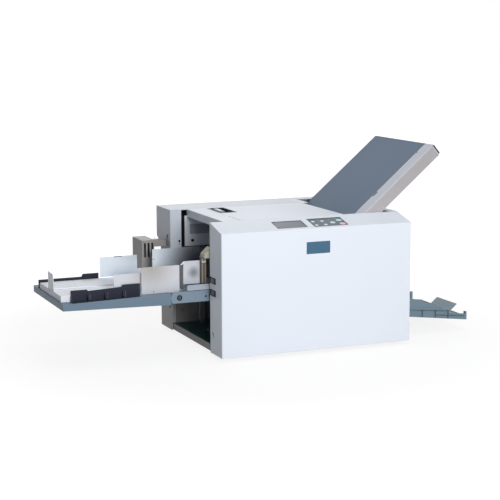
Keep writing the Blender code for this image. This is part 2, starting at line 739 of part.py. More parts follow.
def make_lid():
    wall = COVER_WALL
    seam = TOP_SEAM_Y - SEAT
    pivot = (LID_RIGHT, (LID_FRONT_Y + seam) / 2, BODY_HEIGHT - HINGE_DROP)

    def plate(made):
        block(made, (LID_LEFT, LID_RIGHT), (LID_FRONT_Y + RUN, seam - RUN), (BODY_HEIGHT - wall, BODY_HEIGHT))

    def skirts(made):
        for y in (LID_FRONT_Y + RUN, seam - RUN - wall):
            block(made, (LID_LEFT, LID_RIGHT - LID_TURN), (y, y + wall), (BODY_HEIGHT - LID_TURN, BODY_HEIGHT))
        block(made, (LID_LEFT, LID_LEFT + wall), (LID_FRONT_Y + RUN, seam - RUN),
              (BODY_HEIGHT - LID_TURN, BODY_HEIGHT))

    def knuckles(made):
        for share in HINGE_Y_SHARES:
            y = LID_FRONT_Y + share * (seam - LID_FRONT_Y)
            rod(made, "y", (LID_RIGHT, BODY_HEIGHT - HINGE_DROP), HINGE_KNUCKLE,
                y - HINGE_LENGTH / 2, y + HINGE_LENGTH / 2, KEY_SIDES)
            block(made, (LID_RIGHT - HINGE_KNUCKLE, LID_RIGHT - SEAT), (y - HINGE_LENGTH / 2, y + HINGE_LENGTH / 2),
                  (BODY_HEIGHT - HINGE_DROP, BODY_HEIGHT - wall / 2))

    def openings(made):
        block(made, (HANDLE_X - HANDLE_WIDTH / 2, HANDLE_X + HANDLE_WIDTH / 2),
              (HANDLE_Y - HANDLE_LENGTH / 2, HANDLE_Y + HANDLE_LENGTH / 2),
              (BODY_HEIGHT - 2 * wall, BODY_HEIGHT + wall))
        for share in HINGE_Y_SHARES:
            y = LID_FRONT_Y + share * (seam - LID_FRONT_Y)
            rod(made, "y", (LID_RIGHT, BODY_HEIGHT - HINGE_DROP), HINGE_RADIUS + RUN,
                y - HINGE_LENGTH, y + HINGE_LENGTH, KEY_SIDES)

    lid = add_object("top_cover", plate, "white_cover", pivot)
    join(lid, skirts)
    boolean(lid, add_object("top_cover_knuckles", knuckles, "zinc"), "UNION")
    boolean(lid, add_object("top_cover_openings", openings, "zinc"), "DIFFERENCE")
    make_lid_handle(pivot)
    make_lid_hinge()


def make_lid_handle(pivot):
    wall = HANDLE_WALL
    x = (HANDLE_X - HANDLE_WIDTH / 2 + SEAT, HANDLE_X + HANDLE_WIDTH / 2 - SEAT)
    y = (HANDLE_Y - HANDLE_LENGTH / 2 + SEAT, HANDLE_Y + HANDLE_LENGTH / 2 - SEAT)

    def cup(made):
        block(made, x, y, (BODY_HEIGHT - HANDLE_DEPTH, BODY_HEIGHT + HANDLE_RIM_THICK))

    def rim(made):
        block(made, (x[0] - HANDLE_RIM, x[1] + HANDLE_RIM), (y[0] - HANDLE_RIM, y[1] + HANDLE_RIM),
              (BODY_HEIGHT + SEAT, BODY_HEIGHT + HANDLE_RIM_THICK))

    def inside(made):
        block(made, (x[0] + wall, x[1] - wall), (y[0] + wall, y[1] - wall),
              (BODY_HEIGHT - HANDLE_DEPTH + wall, BODY_HEIGHT + HANDLE_DEPTH))

    handle = add_object("lid_handle", cup, "black", pivot)
    join(handle, rim)
    cut(handle, inside)


def make_lid_hinge():
    """Cross beam between the frames with round ears, each holding its pin in a knuckle of the lid."""
    seam = TOP_SEAM_Y - SEAT
    leaf = HINGE_KNUCKLE / 2
    axis_z = BODY_HEIGHT - HINGE_DROP

    def beam(made):
        block(made, (LID_RIGHT - HINGE_KNUCKLE, LID_RIGHT + HINGE_KNUCKLE),
              (INNER_FRONT + SEAT, REAR_FRAME_Y - SEAT), (FRAME_TOP - 2 * HINGE_DROP, FRAME_TOP - HINGE_DROP))

    def ears(made):
        for share in HINGE_Y_SHARES:
            y = LID_FRONT_Y + share * (seam - LID_FRONT_Y)
            for side in (-1, 1):
                near = y + side * (HINGE_LENGTH / 2 + SEAT)
                ends = sorted((near, near + side * leaf))
                outline = [(LID_RIGHT - HINGE_KNUCKLE, FRAME_TOP - 3 * HINGE_DROP / 2)]
                outline += reversed(arc((LID_RIGHT, axis_z), HINGE_KNUCKLE, 0, 180, KEY_SIDES // 2))
                outline += [(LID_RIGHT + HINGE_KNUCKLE, FRAME_TOP - 3 * HINGE_DROP / 2)]
                prism(made, outline, "y", *ends)

    def pins(made):
        for share in HINGE_Y_SHARES:
            y = LID_FRONT_Y + share * (seam - LID_FRONT_Y)
            reach = HINGE_LENGTH / 2 + SEAT + leaf / 2
            rod(made, "y", (LID_RIGHT, axis_z), HINGE_RADIUS, y - reach, y + reach, KEY_SIDES)

    hinge = add_object("lid_hinge", beam, "steel")
    join(hinge, ears)
    boolean(hinge, add_object("lid_hinge_pins", pins, "zinc"), "UNION")


# Control panel, keys and switches
def make_control_panel():
    wall = COVER_WALL

    def display(made):
        chamfer_block(made, (DISPLAY_LEFT + SEAT, DISPLAY_RIGHT - SEAT), (DISPLAY_LOW + SEAT, DISPLAY_HIGH - SEAT),
                      (-wall, -PANEL_THICK / 2))

    def keypad(made):
        chamfer_block(made, (KEYPAD_LEFT + SEAT, KEYPAD_RIGHT - SEAT), (KEYPAD_LOW + SEAT, KEYPAD_HIGH - SEAT),
                      (-wall, -wall + PANEL_THICK))

    def wells(made):
        for name, across, along, size in KEY_PLACE_SHARES:
            key_disc(made, across, along, size, RUN, -2 * wall, wall)

    add_object("display_window", display, "display")
    panel = add_object("key_panel", keypad, "dark_panel")
    cut(panel, wells)

    for name, across, along, size in KEY_PLACE_SHARES:
        make_key(name, across, along, size)


def key_radius(size):
    return {"small": SMALL_KEY, "medium": MEDIUM_KEY, "large": LARGE_KEY}[size]


def key_disc(made, across, along, size, extra, low, high):
    radius = key_radius(size) + extra
    grown = bmesh.ops.create_cone(made, cap_ends=True, segments=KEY_SIDES, radius1=radius, radius2=radius,
                                  depth=high - low)["verts"]
    bmesh.ops.scale(made, verts=grown, vec=(1, KEY_SQUASH_SHARE, 1))
    place = (KEYPAD_LEFT + across * (KEYPAD_RIGHT - KEYPAD_LEFT),
             KEYPAD_LOW + along * (KEYPAD_HIGH - KEYPAD_LOW), (low + high) / 2)
    bmesh.ops.translate(made, verts=grown, vec=place)
    bmesh.ops.transform(made, verts=grown, matrix=Matrix.Rotation(CHAMFER_ANGLE, 4, "X"))
    bmesh.ops.translate(made, verts=grown, vec=(0, 0, FRONT_FACE_HEIGHT))


def make_key(name, across, along, size):
    wall = COVER_WALL
    finish = {"key_start": "key_cyan", "key_stop": "key_pink"}.get(name, "key_white")

    def cap(made):
        key_disc(made, across, along, size, 0, -2 * wall - SEAT, -wall + PANEL_THICK + KEY_PROUD)

    pivot = chamfer_point(KEYPAD_LEFT + across * (KEYPAD_RIGHT - KEYPAD_LEFT),
                          KEYPAD_LOW + along * (KEYPAD_HIGH - KEYPAD_LOW))
    add_object(name, cap, finish, pivot)


def make_switches():
    """Two rocking switches in cut-outs of the left wall, each tipped to its off side."""
    wide = SWITCH_WIDTH / 2 - 2 * SEAT
    half_z = SWITCH_HEIGHT / 2 - SWITCH_PLAY
    for name, z in (("switch_upper", SWITCH_UPPER_Z), ("switch_lower", SWITCH_LOWER_Z)):
        pivot = (COVER_WALL / 2, SWITCH_Y, z)
        outline = [(-SWITCH_PROUD, z + half_z), (-SWITCH_PROUD / 2, z), (-SWITCH_PROUD, z - half_z),
                   (SWITCH_DEPTH / 2, z - half_z / 2), (SWITCH_DEPTH / 2, z + half_z / 2)]

        def rocker(made):
            prism(made, outline, "y", SWITCH_Y - wide, SWITCH_Y + wide)
            bmesh.ops.rotate(made, verts=made.verts, cent=pivot,
                             matrix=Matrix.Rotation(math.radians(SWITCH_TILT_DEG), 3, "Y"))

        add_object(name, rocker, "black", pivot)


# Base, feet and frames
def make_base():
    low = PAN_TOP - PAN_SHEET
    x = (PAN_INSET, BODY_WIDTH - PAN_INSET)
    y = (FRONT_DEPTH - PAN_INSET - COVER_WALL, BODY_DEPTH - COVER_WALL - SEAT)

    def tray(made):
        block(made, x, y, (PAN_RIM_LOW, PAN_TOP))

    def under(made):
        block(made, (x[0] + PAN_SHEET, x[1] - PAN_SHEET), (y[0] + PAN_SHEET, y[1] - PAN_SHEET),
              (PAN_RIM_LOW - CUT_OVER, low))
        block(made, (x[0] - CUT_OVER, x[0] + PAN_SHEET), (REAR_FRAME_Y, y[1] + CUT_OVER),
              (PAN_RIM_LOW - CUT_OVER, PAN_TOP + CUT_OVER))

    pan = add_object("base_pan", tray, "zinc")
    cut(pan, under)

    for side, foot_x in (("left", FOOT_INSET_X), ("right", BODY_WIDTH - FOOT_INSET_X)):
        for end, foot_y in (("front", FRONT_DEPTH + FOOT_INSET_Y), ("rear", BODY_DEPTH - FOOT_INSET_Y)):
            add_object("foot_%s_%s" % (end, side),
                       lambda made: rod(made, "z", (foot_x, foot_y), FOOT_RADIUS, -FOOT_HEIGHT, low - SEAT),
                       "rubber", smooth=True)


def roller_places():
    """Centres of the four fold rollers, from the first nip down and to the right."""
    first = Vector((NIP_X, 0, NIP_Z + ROLLER_PITCH / 2))
    second = first - Vector((0, 0, ROLLER_PITCH))
    third = second - SQUARE * ROLLER_PITCH
    fourth = third - Vector((0, 0, ROLLER_PITCH))
    return [first, second, third, fourth]


def frame_outline():
    return [(FRAME_LEFT, PAN_TOP + SEAT), (FRAME_LEFT, FRAME_TOP), (FRAME_RIGHT, FRAME_TOP),
            (FRAME_RIGHT, PAN_TOP + SEAT)]


def make_frames():
    def shafts(made, y):
        for place in roller_places():
            rod(made, "y", (place.x, place.z), ROLLER_SHAFT + RUN, y - CUT_OVER, y + FRAME_PLATE + CUT_OVER,
                KEY_SIDES)
        rod(made, "y", (DRUM_X, DRUM_Z), ROLLER_SHAFT + RUN, y - CUT_OVER, y + FRAME_PLATE + CUT_OVER, KEY_SIDES)
        rod(made, "y", (DELIVERY_ROLLER_X, DELIVERY_ROLLER_Z), ROLLER_SHAFT + RUN,
            y - CUT_OVER, y + FRAME_PLATE + CUT_OVER, KEY_SIDES)

    for name, y in (("front_frame", FRONT_FRAME_Y), ("rear_frame", REAR_FRAME_Y)):
        frame = add_object(name, lambda made: prism(made, frame_outline(), "y", y, y + FRAME_PLATE), "zinc")
        cut(frame, lambda made: shafts(made, y))
    join(frame, inner_panel)
    boolean(frame, add_object("rear_frame_hole", inner_panel_hole, "zinc"), "DIFFERENCE")


def inner_panel(made):
    """Stepped-forward upper part of the rear frame, with the shelf that carries it."""
    block(made, (PANEL_LEFT, PANEL_RIGHT), (TOP_SEAM_Y, TOP_SEAM_Y + SHEET), (PANEL_LOW, PANEL_HIGH))
    block(made, (PANEL_LEFT, PANEL_RIGHT), (TOP_SEAM_Y, REAR_FRAME_Y + SHEET), (PANEL_LOW, PANEL_LOW + SHEET))


def inner_panel_hole(made):
    rod(made, "y", (PANEL_LEFT + PANEL_HOLE_X, PANEL_LOW + PANEL_HOLE_Z), PANEL_HOLE_RADIUS,
        TOP_SEAM_Y - CUT_OVER, TOP_SEAM_Y + CUT_OVER, KEY_SIDES)
    rod(made, "y", (DRUM_X, DRUM_Z), ROLLER_SHAFT + RUN, TOP_SEAM_Y - CUT_OVER, TOP_SEAM_Y + CUT_OVER, KEY_SIDES)


# Feed table and what it carries
def arm_outline():
    reach = ARM_END_RADIUS
    low = PIVOT_Z - ARM_LOW
    high = ARM_HIGH - PIVOT_Z
    start = math.degrees(math.asin(high / reach))
    end = math.degrees(math.asin(low / reach))
    rounded = arc((PIVOT_X, PIVOT_Z), reach, 180 - start, 180 + end, 6)
    return rounded + [(ARM_RIGHT, ARM_LOW), (ARM_RIGHT, ARM_HIGH)]


def arm_spans():
    """Y spans of the near and far arm."""
    front = (ARM_FRONT_Y, ARM_FRONT_Y + ARM_THICK)
    back_end = REAR_FRAME_Y - ARM_BACK_GAP
    return front, (back_end - ARM_THICK, back_end)


def make_feed_table():
    near, far = arm_spans()

    def arms(made):
        for span in (near, far):
            prism(made, arm_outline(), "y", *span)

    def plate(made):
        block(made, (TABLE_LEFT, GUIDE_LEFT - SEAT), (near[1] + TABLE_INSET, far[0] - TABLE_INSET / 2),
              (TABLE_TOP - TABLE_SHEET, TABLE_TOP))

    def beams(made):
        for x in (PIVOT_X + EAR_RADIUS + 2 * RUN, ARM_RIGHT - 2 * BEAM_WIDTH):
            block(made, (x, x + BEAM_WIDTH), (near[1] - ARM_THICK / 2, far[0] + ARM_THICK / 2),
                  (TABLE_TOP - BEAM_DEPTH, TABLE_TOP - TABLE_SHEET / 2))

    def band(made):
        block(made, (BAND_LEFT, BAND_RIGHT), (near[1] - ARM_THICK, near[1]), (ARM_HIGH - TABLE_SHEET, BAND_HIGH))

    def bores(made):
        for span in (near, far):
            rod(made, "y", (PIVOT_X, PIVOT_Z), PIVOT_RADIUS + PIVOT_CLEAR, span[0] - CUT_OVER, span[1] + CUT_OVER,
                KEY_SIDES)

    table = add_object("feed_table", arms, "blue_grey")
    join(table, beams)
    boolean(table, add_object("feed_table_plate", plate, "zinc"), "UNION")
    boolean(table, add_object("feed_table_band", band, "zinc"), "UNION")
    boolean(table, add_object("feed_table_bores", bores, "zinc"), "DIFFERENCE")
    make_pivot_shaft(near, far)
    make_extension_tray(near, far)


def make_pivot_shaft(near, far):
    def pin(made):
        rod(made, "y", (PIVOT_X, PIVOT_Z), PIVOT_RADIUS, near[0] - PIVOT_HEAD, far[1] + PIVOT_HEAD, KEY_SIDES)

    def heads(made):
        rod(made, "y", (PIVOT_X, PIVOT_Z), PIVOT_HEAD_RADIUS, near[0] - PIVOT_HEAD, near[0] - SEAT, KEY_SIDES)
        rod(made, "y", (PIVOT_X, PIVOT_Z), PIVOT_HEAD_RADIUS, far[1] + SEAT, far[1] + PIVOT_HEAD, KEY_SIDES)

    shaft = add_object("tray_pivot_shaft", pin, "steel")
    join(shaft, heads)


def make_extension_tray(near, far):
    pivot = (PIVOT_X, (TRAY_FRONT_Y + TRAY_BACK_Y) / 2, PIVOT_Z)
    right = PIVOT_X - ARM_END_RADIUS - TRAY_GAP
    wall = TRAY_WALL

    def body(made):
        prism(made, [(TRAY_LEFT, TRAY_LOW_LEFT_Z), (TRAY_LEFT, TRAY_RIM_LEFT_Z), (right, TRAY_RIM_RIGHT_Z),
                     (right, TRAY_LOW_RIGHT_Z)], "y", TRAY_FRONT_Y, TRAY_BACK_Y)

    def spaces(made):
        block(made, (TRAY_LEFT + wall, right + CUT_OVER), (TRAY_FRONT_Y + wall, TRAY_BACK_Y - wall),
              (TRAY_FLOOR_Z, TRAY_RIM_RIGHT_Z + CUT_OVER))
        block(made, (TRAY_LEFT + wall, right - wall), (TRAY_FRONT_Y + wall, TRAY_BACK_Y - wall),
              (TRAY_LOW_RIGHT_Z - CUT_OVER, TRAY_FLOOR_Z - wall))
        middle = (TAIL_Y, TAIL_Y + TAIL_WIDTH)
        block(made, (TRAY_LEFT - CUT_OVER, TRAY_LEFT + wall + CUT_OVER), middle, (TRAY_FLOOR_Z, TRAY_RIM_RIGHT_Z))

    def ears(made):
        for y in (near[1] + SEAT, far[0] - SEAT - EAR_THICK):
            round_end = arc((PIVOT_X, PIVOT_Z), EAR_RADIUS, -90, 90, 8)
            outline = round_end + [(right - wall / 2, PIVOT_Z + EAR_RADIUS / 2),
                                   (right - wall / 2, PIVOT_Z - EAR_RADIUS)]
            prism(made, outline, "y", y, y + EAR_THICK)

    def bores(made):
        for y in (near[1] + SEAT, far[0] - SEAT - EAR_THICK):
            rod(made, "y", (PIVOT_X, PIVOT_Z), PIVOT_RADIUS + PIVOT_CLEAR, y - CUT_OVER, y + EAR_THICK + CUT_OVER,
                KEY_SIDES)

    tray = add_object("extension_tray", body, "blue_grey", pivot)
    cut(tray, spaces)
    join(tray, ears)
    boolean(tray, add_object("extension_tray_bores", bores, "zinc"), "DIFFERENCE")


def make_sheet_support():
    def slab(made):
        block(made, (SLAB_LEFT, SLAB_RIGHT), (SLAB_FRONT_Y, SLAB_BACK_Y), (TRAY_FLOOR_Z + SEAT, SLAB_TOP))
        edges = [e for e in made.edges
                 if (e.verts[0].co.z + e.verts[1].co.z) / 2 > SLAB_TOP - SEAT
                 or abs(e.verts[0].co.z - e.verts[1].co.z) > SLAB_TURN]
        bmesh.ops.bevel(made, geom=edges, offset=SLAB_TURN, offset_type="OFFSET", segments=CORNER_STEPS,
                        profile=BEVEL_PROFILE, affect="EDGES", material=-1)

    def slot(made):
        y = TAIL_Y + TAIL_WIDTH / 2
        block(made, (SLAB_LEFT - CUT_OVER, SLAB_LEFT + TAIL_TRAVEL + 2 * TAIL_FOOT),
              (y - TAIL_FOOT / 4 - TAIL_SLOT_GAP, y + TAIL_FOOT / 4 + TAIL_SLOT_GAP),
              (SLAB_TOP - 2 * SLAB_TURN, SLAB_TOP + CUT_OVER))

    support = add_object("sheet_support", slab, "white_slab")
    cut(support, slot)


def make_tail_guide():
    """Upright end stop whose tongue lies in the slab's slot."""
    y = TAIL_Y + TAIL_WIDTH / 2
    low = SLAB_TOP + SEAT
    left = SLAB_LEFT + TAIL_THICK + TAIL_SLOT_GAP
    pivot = (left, y, low)

    def sheet(made):
        prism(made, [(TAIL_Y, low), (TAIL_Y + TAIL_LEAN, TAIL_TOP), (TAIL_Y + TAIL_WIDTH - TAIL_LEAN, TAIL_TOP),
                     (TAIL_Y + TAIL_WIDTH, low)], "x", left, left + TAIL_THICK)

    def tongue(made):
        block(made, (left, left + TAIL_FOOT), (y - TAIL_FOOT / 4, y + TAIL_FOOT / 4),
              (SLAB_TOP - 2 * SLAB_TURN + SEAT, SLAB_TOP - SLAB_TURN))
        block(made, (left, left + TAIL_THICK), (y - TAIL_FOOT / 4, y + TAIL_FOOT / 4),
              (SLAB_TOP - 2 * SLAB_TURN + SEAT, low + TAIL_THICK))

    guide = add_object("tail_guide", sheet, "zinc", pivot)
    join(guide, tongue)


def make_edge_guides():
    """Black L guides on the slab's two long sides; the near one has ribs between wall and flange."""
    low = TRAY_FLOOR_Z + SEAT
    left, right = EDGE_GUIDE_LEFT, EDGE_GUIDE_RIGHT
    steps = [left + share * (right - left) for share in EDGE_STEP_SHARES]
    outline = [(left, low), (left, EDGE_HIGH), (steps[1], EDGE_HIGH), (steps[1] + EDGE_WALL, EDGE_MIDDLE),
               (steps[3] - EDGE_WALL, EDGE_HIGH), (steps[3] + EDGE_WALL, EDGE_TALL), (right, EDGE_TALL),
               (right, low)]

    def wall(made):
        prism(made, outline, "y", EDGE_GUIDE_Y - EDGE_WALL, EDGE_GUIDE_Y)

    def flange(made):
        block(made, (left, right), (EDGE_FLANGE_Y, EDGE_GUIDE_Y), (low, low + EDGE_WALL))

    def ribs(made):
        for x in steps[:-1]:
            reach = (EDGE_GUIDE_Y - EDGE_FLANGE_Y) / 2
            prism(made, [(EDGE_GUIDE_Y - reach, low), (EDGE_GUIDE_Y - EDGE_WALL / 2, EDGE_MIDDLE),
                         (EDGE_GUIDE_Y - EDGE_WALL / 2, low)], "x", x, x + EDGE_RIB)

    near = add_object("near_edge_guide", wall, "black")
    join(near, flange)
    boolean(near, add_object("near_edge_guide_ribs", ribs, "zinc"), "UNION")

    left, right = FAR_GUIDE_LEFT, FAR_GUIDE_RIGHT
    far_outline = [(left, low), (left, FAR_GUIDE_HIGH), (FAR_GUIDE_STEP_X - EDGE_RIB, FAR_GUIDE_HIGH),
                   (FAR_GUIDE_STEP_X + EDGE_RIB, FAR_GUIDE_TALL), (right, FAR_GUIDE_TALL), (right, low)]

    def far_wall(made):
        prism(made, far_outline, "y", FAR_GUIDE_Y, FAR_GUIDE_Y + EDGE_WALL)

    def far_flange(made):
        block(made, (left, right), (FAR_GUIDE_Y, FAR_GUIDE_Y + FAR_GUIDE_FLANGE), (low, low + EDGE_WALL))

    far = add_object("far_edge_guide", far_wall, "black")
    join(far, far_flange)


def make_fences():
    """Near and far side fences; each stands on a foot strip that slides across the table."""
    low = FENCE_LOW
    foot_z = TABLE_TOP + SEAT
    near, far = arm_spans()
    plate_front = near[1] + TABLE_INSET

    def lower(made):
        block(made, (FENCE_LEFT, FENCE_SEAM_LEFT), (FENCE_Y, FENCE_Y + FENCE_SHEET), (low, FENCE_HIGH))

    def upper(made):
        block(made, (FENCE_SEAM_RIGHT, FENCE_RIGHT), (FENCE_Y, FENCE_Y + FENCE_SHEET),
              (FENCE_UPPER_LOW, FENCE_UPPER_HIGH))

    def web(made):
        y = FENCE_Y + FENCE_SEAM_SETBACK
        block(made, (FENCE_SEAM_LEFT - FENCE_CURL, FENCE_SEAM_RIGHT + FENCE_CURL), (y, y + FENCE_SHEET),
              (FENCE_UPPER_LOW, FENCE_HIGH - FENCE_CURL))
        for x in (FENCE_SEAM_LEFT - FENCE_CURL, FENCE_SEAM_RIGHT + FENCE_CURL - FENCE_SHEET):
            block(made, (x, x + FENCE_SHEET), (FENCE_Y + FENCE_SHEET / 2, y + FENCE_SHEET / 2),
                  (FENCE_UPPER_LOW, FENCE_HIGH - FENCE_CURL))

    def foot(made):
        x = (TABLE_LEFT, TABLE_LEFT + FENCE_FOOT)
        block(made, x, (FENCE_Y, plate_front + FENCE_FOOT), (foot_z, low + FENCE_SHEET))

    def extension(made):
        over_slab = SLAB_TOP + 2 * FENCE_SHEET
        block(made, (NEAR_PLATE_LEFT, FENCE_LEFT + FENCE_SHEET), (NEAR_PLATE_Y, NEAR_PLATE_Y + FENCE_SHEET),
              (over_slab, NEAR_PLATE_HIGH))
        block(made, (FENCE_LEFT, FENCE_LEFT + FENCE_SHEET), (FENCE_Y, NEAR_PLATE_Y + FENCE_SHEET),
              (over_slab, NEAR_PLATE_HIGH))

    near_fence = add_object("near_fence", lower, "steel")
    join(near_fence, upper)
    boolean(near_fence, add_object("near_fence_extension", extension, "zinc"), "UNION")
    boolean(near_fence, add_object("near_fence_web", web, "zinc"), "UNION")
    boolean(near_fence, add_object("near_fence_foot", foot, "zinc"), "UNION")

    over_slab = SLAB_TOP + 2 * FENCE_SHEET
    past_slab = SLAB_RIGHT + FENCE_CURL
    outline = [(past_slab, low), (past_slab, over_slab), (FAR_FENCE_LEFT, over_slab),
               (FAR_FENCE_LEFT, FAR_FENCE_HIGH)]
    span = FAR_FENCE_MIDDLE - FAR_FENCE_LEFT
    cuts = [FAR_FENCE_LEFT + share * span for share in FAR_FENCE_NOTCH_SHARES]
    outline += [(cuts[0], FAR_FENCE_HIGH), (cuts[0], FAR_FENCE_HIGH - FAR_FENCE_NOTCH),
                (cuts[1], FAR_FENCE_HIGH - FAR_FENCE_NOTCH), (cuts[1], FAR_FENCE_HIGH),
                (FAR_FENCE_MIDDLE, FAR_FENCE_HIGH), (FAR_FENCE_MIDDLE, low)]

    def far_lower(made):
        prism(made, outline, "y", FAR_FENCE_Y - FENCE_SHEET, FAR_FENCE_Y)

    def far_upper(made):
        block(made, (FAR_FENCE_STEP, FAR_FENCE_RIGHT), (FAR_FENCE_Y - FENCE_SHEET, FAR_FENCE_Y),
              (FAR_FENCE_UPPER_LOW, FAR_FENCE_TALL))

    def far_strip(made):
        block(made, (FAR_FENCE_MIDDLE - FENCE_SHEET, FAR_FENCE_RIGHT - FENCE_CURL),
              (FAR_FENCE_Y - FENCE_SHEET, FAR_FENCE_Y), (low, FAR_FENCE_UPPER_LOW + FENCE_SHEET))

    def far_foot(made):
        block(made, (TABLE_LEFT, FAR_FENCE_RIGHT - FENCE_CURL), (FAR_FENCE_Y - FENCE_FOOT, FAR_FENCE_Y),
              (foot_z, low + FENCE_SHEET))

    far_fence = add_object("far_fence", far_lower, "steel")
    join(far_fence, far_upper)
    boolean(far_fence, add_object("far_fence_strip", far_strip, "zinc"), "UNION")
    boolean(far_fence, add_object("far_fence_foot", far_foot, "zinc"), "UNION")


def make_blower():
    """Side air box on the rear cover, with three outlet slots towards the sheets."""
    wall = BLOWER_WALL
    right = -HOUSING_LEFT - SEAT
    front, back = BLOWER_FRONT_Y, BLOWER_BACK_Y
    top_front = BLOWER_HIGH

    def box(made):
        block(made, (BLOWER_LEFT, BLOWER_RIGHT), (front, back), (BLOWER_LOW, top_front))

    def hollow(made):
        block(made, (BLOWER_LEFT + wall, BLOWER_RIGHT - wall), (front + wall, back - wall),
              (BLOWER_LOW + wall, top_front - wall))

    def slots(made):
        high = top_front - BLOWER_SLOT_DROP
        for i in range(BLOWER_SLOTS):
            x = BLOWER_LEFT + BLOWER_SLOT_FIRST + i * BLOWER_SLOT_PITCH
            block(made, (x, x + BLOWER_SLOT_WIDTH), (front - CUT_OVER, front + CUT_OVER),
                  (high - BLOWER_SLOT_HEIGHT, high))

    blower = add_object("blower_box", box, "beige")
    cut(blower, hollow)
    boolean(blower, add_object("blower_box_slots", slots, "zinc"), "DIFFERENCE")

    def duct(made):
        block(made, (BLOWER_RIGHT - wall / 2, right), (front + 2 * wall, front + BLOWER_DUCT_DEPTH),
              (BLOWER_DUCT_LOW, BLOWER_DUCT_HIGH))

    boolean(blower, add_object("blower_box_duct", duct, "zinc"), "UNION")


def make_feed_post():
    right = POST_LEFT + POST_WIDTH

    def post(made):
        block(made, (POST_LEFT, right), (POST_Y, POST_Y + POST_DEPTH), (POST_LOW, POST_HIGH))

    def groove(made):
        middle = (POST_LEFT + right) / 2
        block(made, (middle - POST_GROOVE / 2, middle + POST_GROOVE / 2), (POST_Y - CUT_OVER, POST_Y + POST_GROOVE / 2),
              (POST_LOW - CUT_OVER, POST_HIGH - POST_GROOVE))

    def bracket(made):
        block(made, (POST_LEFT - POST_GROOVE, FRAME_LEFT + BRACKET_REACH), (INNER_FRONT + SEAT, POST_Y + POST_DEPTH),
              (BRACKET_HIGH - SHEET, BRACKET_HIGH))
        block(made, (FRAME_LEFT + SEAT, FRAME_LEFT + BRACKET_REACH), (INNER_FRONT + SEAT, INNER_FRONT + SEAT + SHEET),
              (BRACKET_LOW, BRACKET_HIGH))
        block(made, (POST_LEFT, right), (POST_Y, POST_Y + POST_DEPTH), (POST_HIGH - SEAT, BRACKET_HIGH - SHEET / 2))

    rail = add_object("feed_post", post, "beige")
    cut(rail, groove)
    join(rail, bracket)


def make_lift_guide():
    near, far = arm_spans()
    high = GUIDE_HIGH

    def posts(made):
        block(made, (GUIDE_LEFT, GUIDE_LEFT + GUIDE_WIDTH), (near[0], near[0] + GUIDE_DEPTH), (PAN_TOP + SEAT, high))
        block(made, (GUIDE_LEFT, GUIDE_LEFT + GUIDE_WIDTH), (far[1] - GUIDE_DEPTH, far[1]), (PAN_TOP + SEAT, high))

    def stop_bar(made):
        block(made, (GUIDE_LEFT, GUIDE_LEFT + GUIDE_WIDTH / 2), (near[0] + GUIDE_DEPTH / 2, far[1] - GUIDE_DEPTH / 2),
              (high - GUIDE_DEPTH, high))

    guide = add_object("lift_guide", posts, "zinc")
    join(guide, stop_bar)


# Rollers, gears and motor
def toothed(made, centre, radius, teeth, phase, start, end):
    """Straight gear with flat-sided teeth; phase is the angle of one tooth's middle."""
    unit = 2 * radius / teeth
    tip = radius + TOOTH_HEIGHT_SHARE * unit
    root = radius - TOOTH_ROOT_SHARE * unit
    pitch = 2 * math.pi / teeth
    points = []
    for i in range(teeth):
        middle = phase + i * pitch
        for height, share in ((root, -TOOTH_BASE_SHARE), (tip, -TOOTH_TIP_SHARE),
                              (tip, TOOTH_TIP_SHARE), (root, TOOTH_BASE_SHARE)):
            turn = middle + share * pitch * TOOTH_WIDTH_SHARE
            points.append((centre[0] + height * math.cos(turn), centre[1] + height * math.sin(turn)))
    prism(made, points, "y", start, end)


def gear_phases():
    """Tooth phases of the two gears and of the pinion, so that every pair is in mesh at rest."""
    places = roller_places()
    pitch = 2 * math.pi / GEAR_TEETH

    def follow(phase, here, there, teeth):
        step = 2 * math.pi / teeth
        toward = math.atan2(there.z - here.z, there.x - here.x)
        offset = ((toward - phase) % pitch) / pitch
        return toward + math.pi - step / 2 + offset * step

    first = 0.0
    second = follow(first, places[0], places[1], GEAR_TEETH)
    pinion = follow(second, places[1], pinion_place(), PINION_TEETH)
    return [first, second, pinion]


def pinion_place():
    return roller_places()[1] - Vector((GEAR_RADIUS + PINION_RADIUS, 0, 0))


def make_roller(name, place, radius, shaft_end, finish="rubber"):
    """Roller body with its shaft through both frames."""
    front = FRONT_FRAME_Y

    def body(made):
        rod(made, "y", (place.x, place.z), radius, INNER_FRONT + ROLLER_END_GAP, REAR_FRAME_Y - ROLLER_END_GAP)

    def shaft(made):
        rod(made, "y", (place.x, place.z), ROLLER_SHAFT, front + FRAME_PLATE / 2, shaft_end, KEY_SIDES)

    roller = add_object(name, body, finish, (place.x, front, place.z), smooth=True)
    join(roller, shaft)


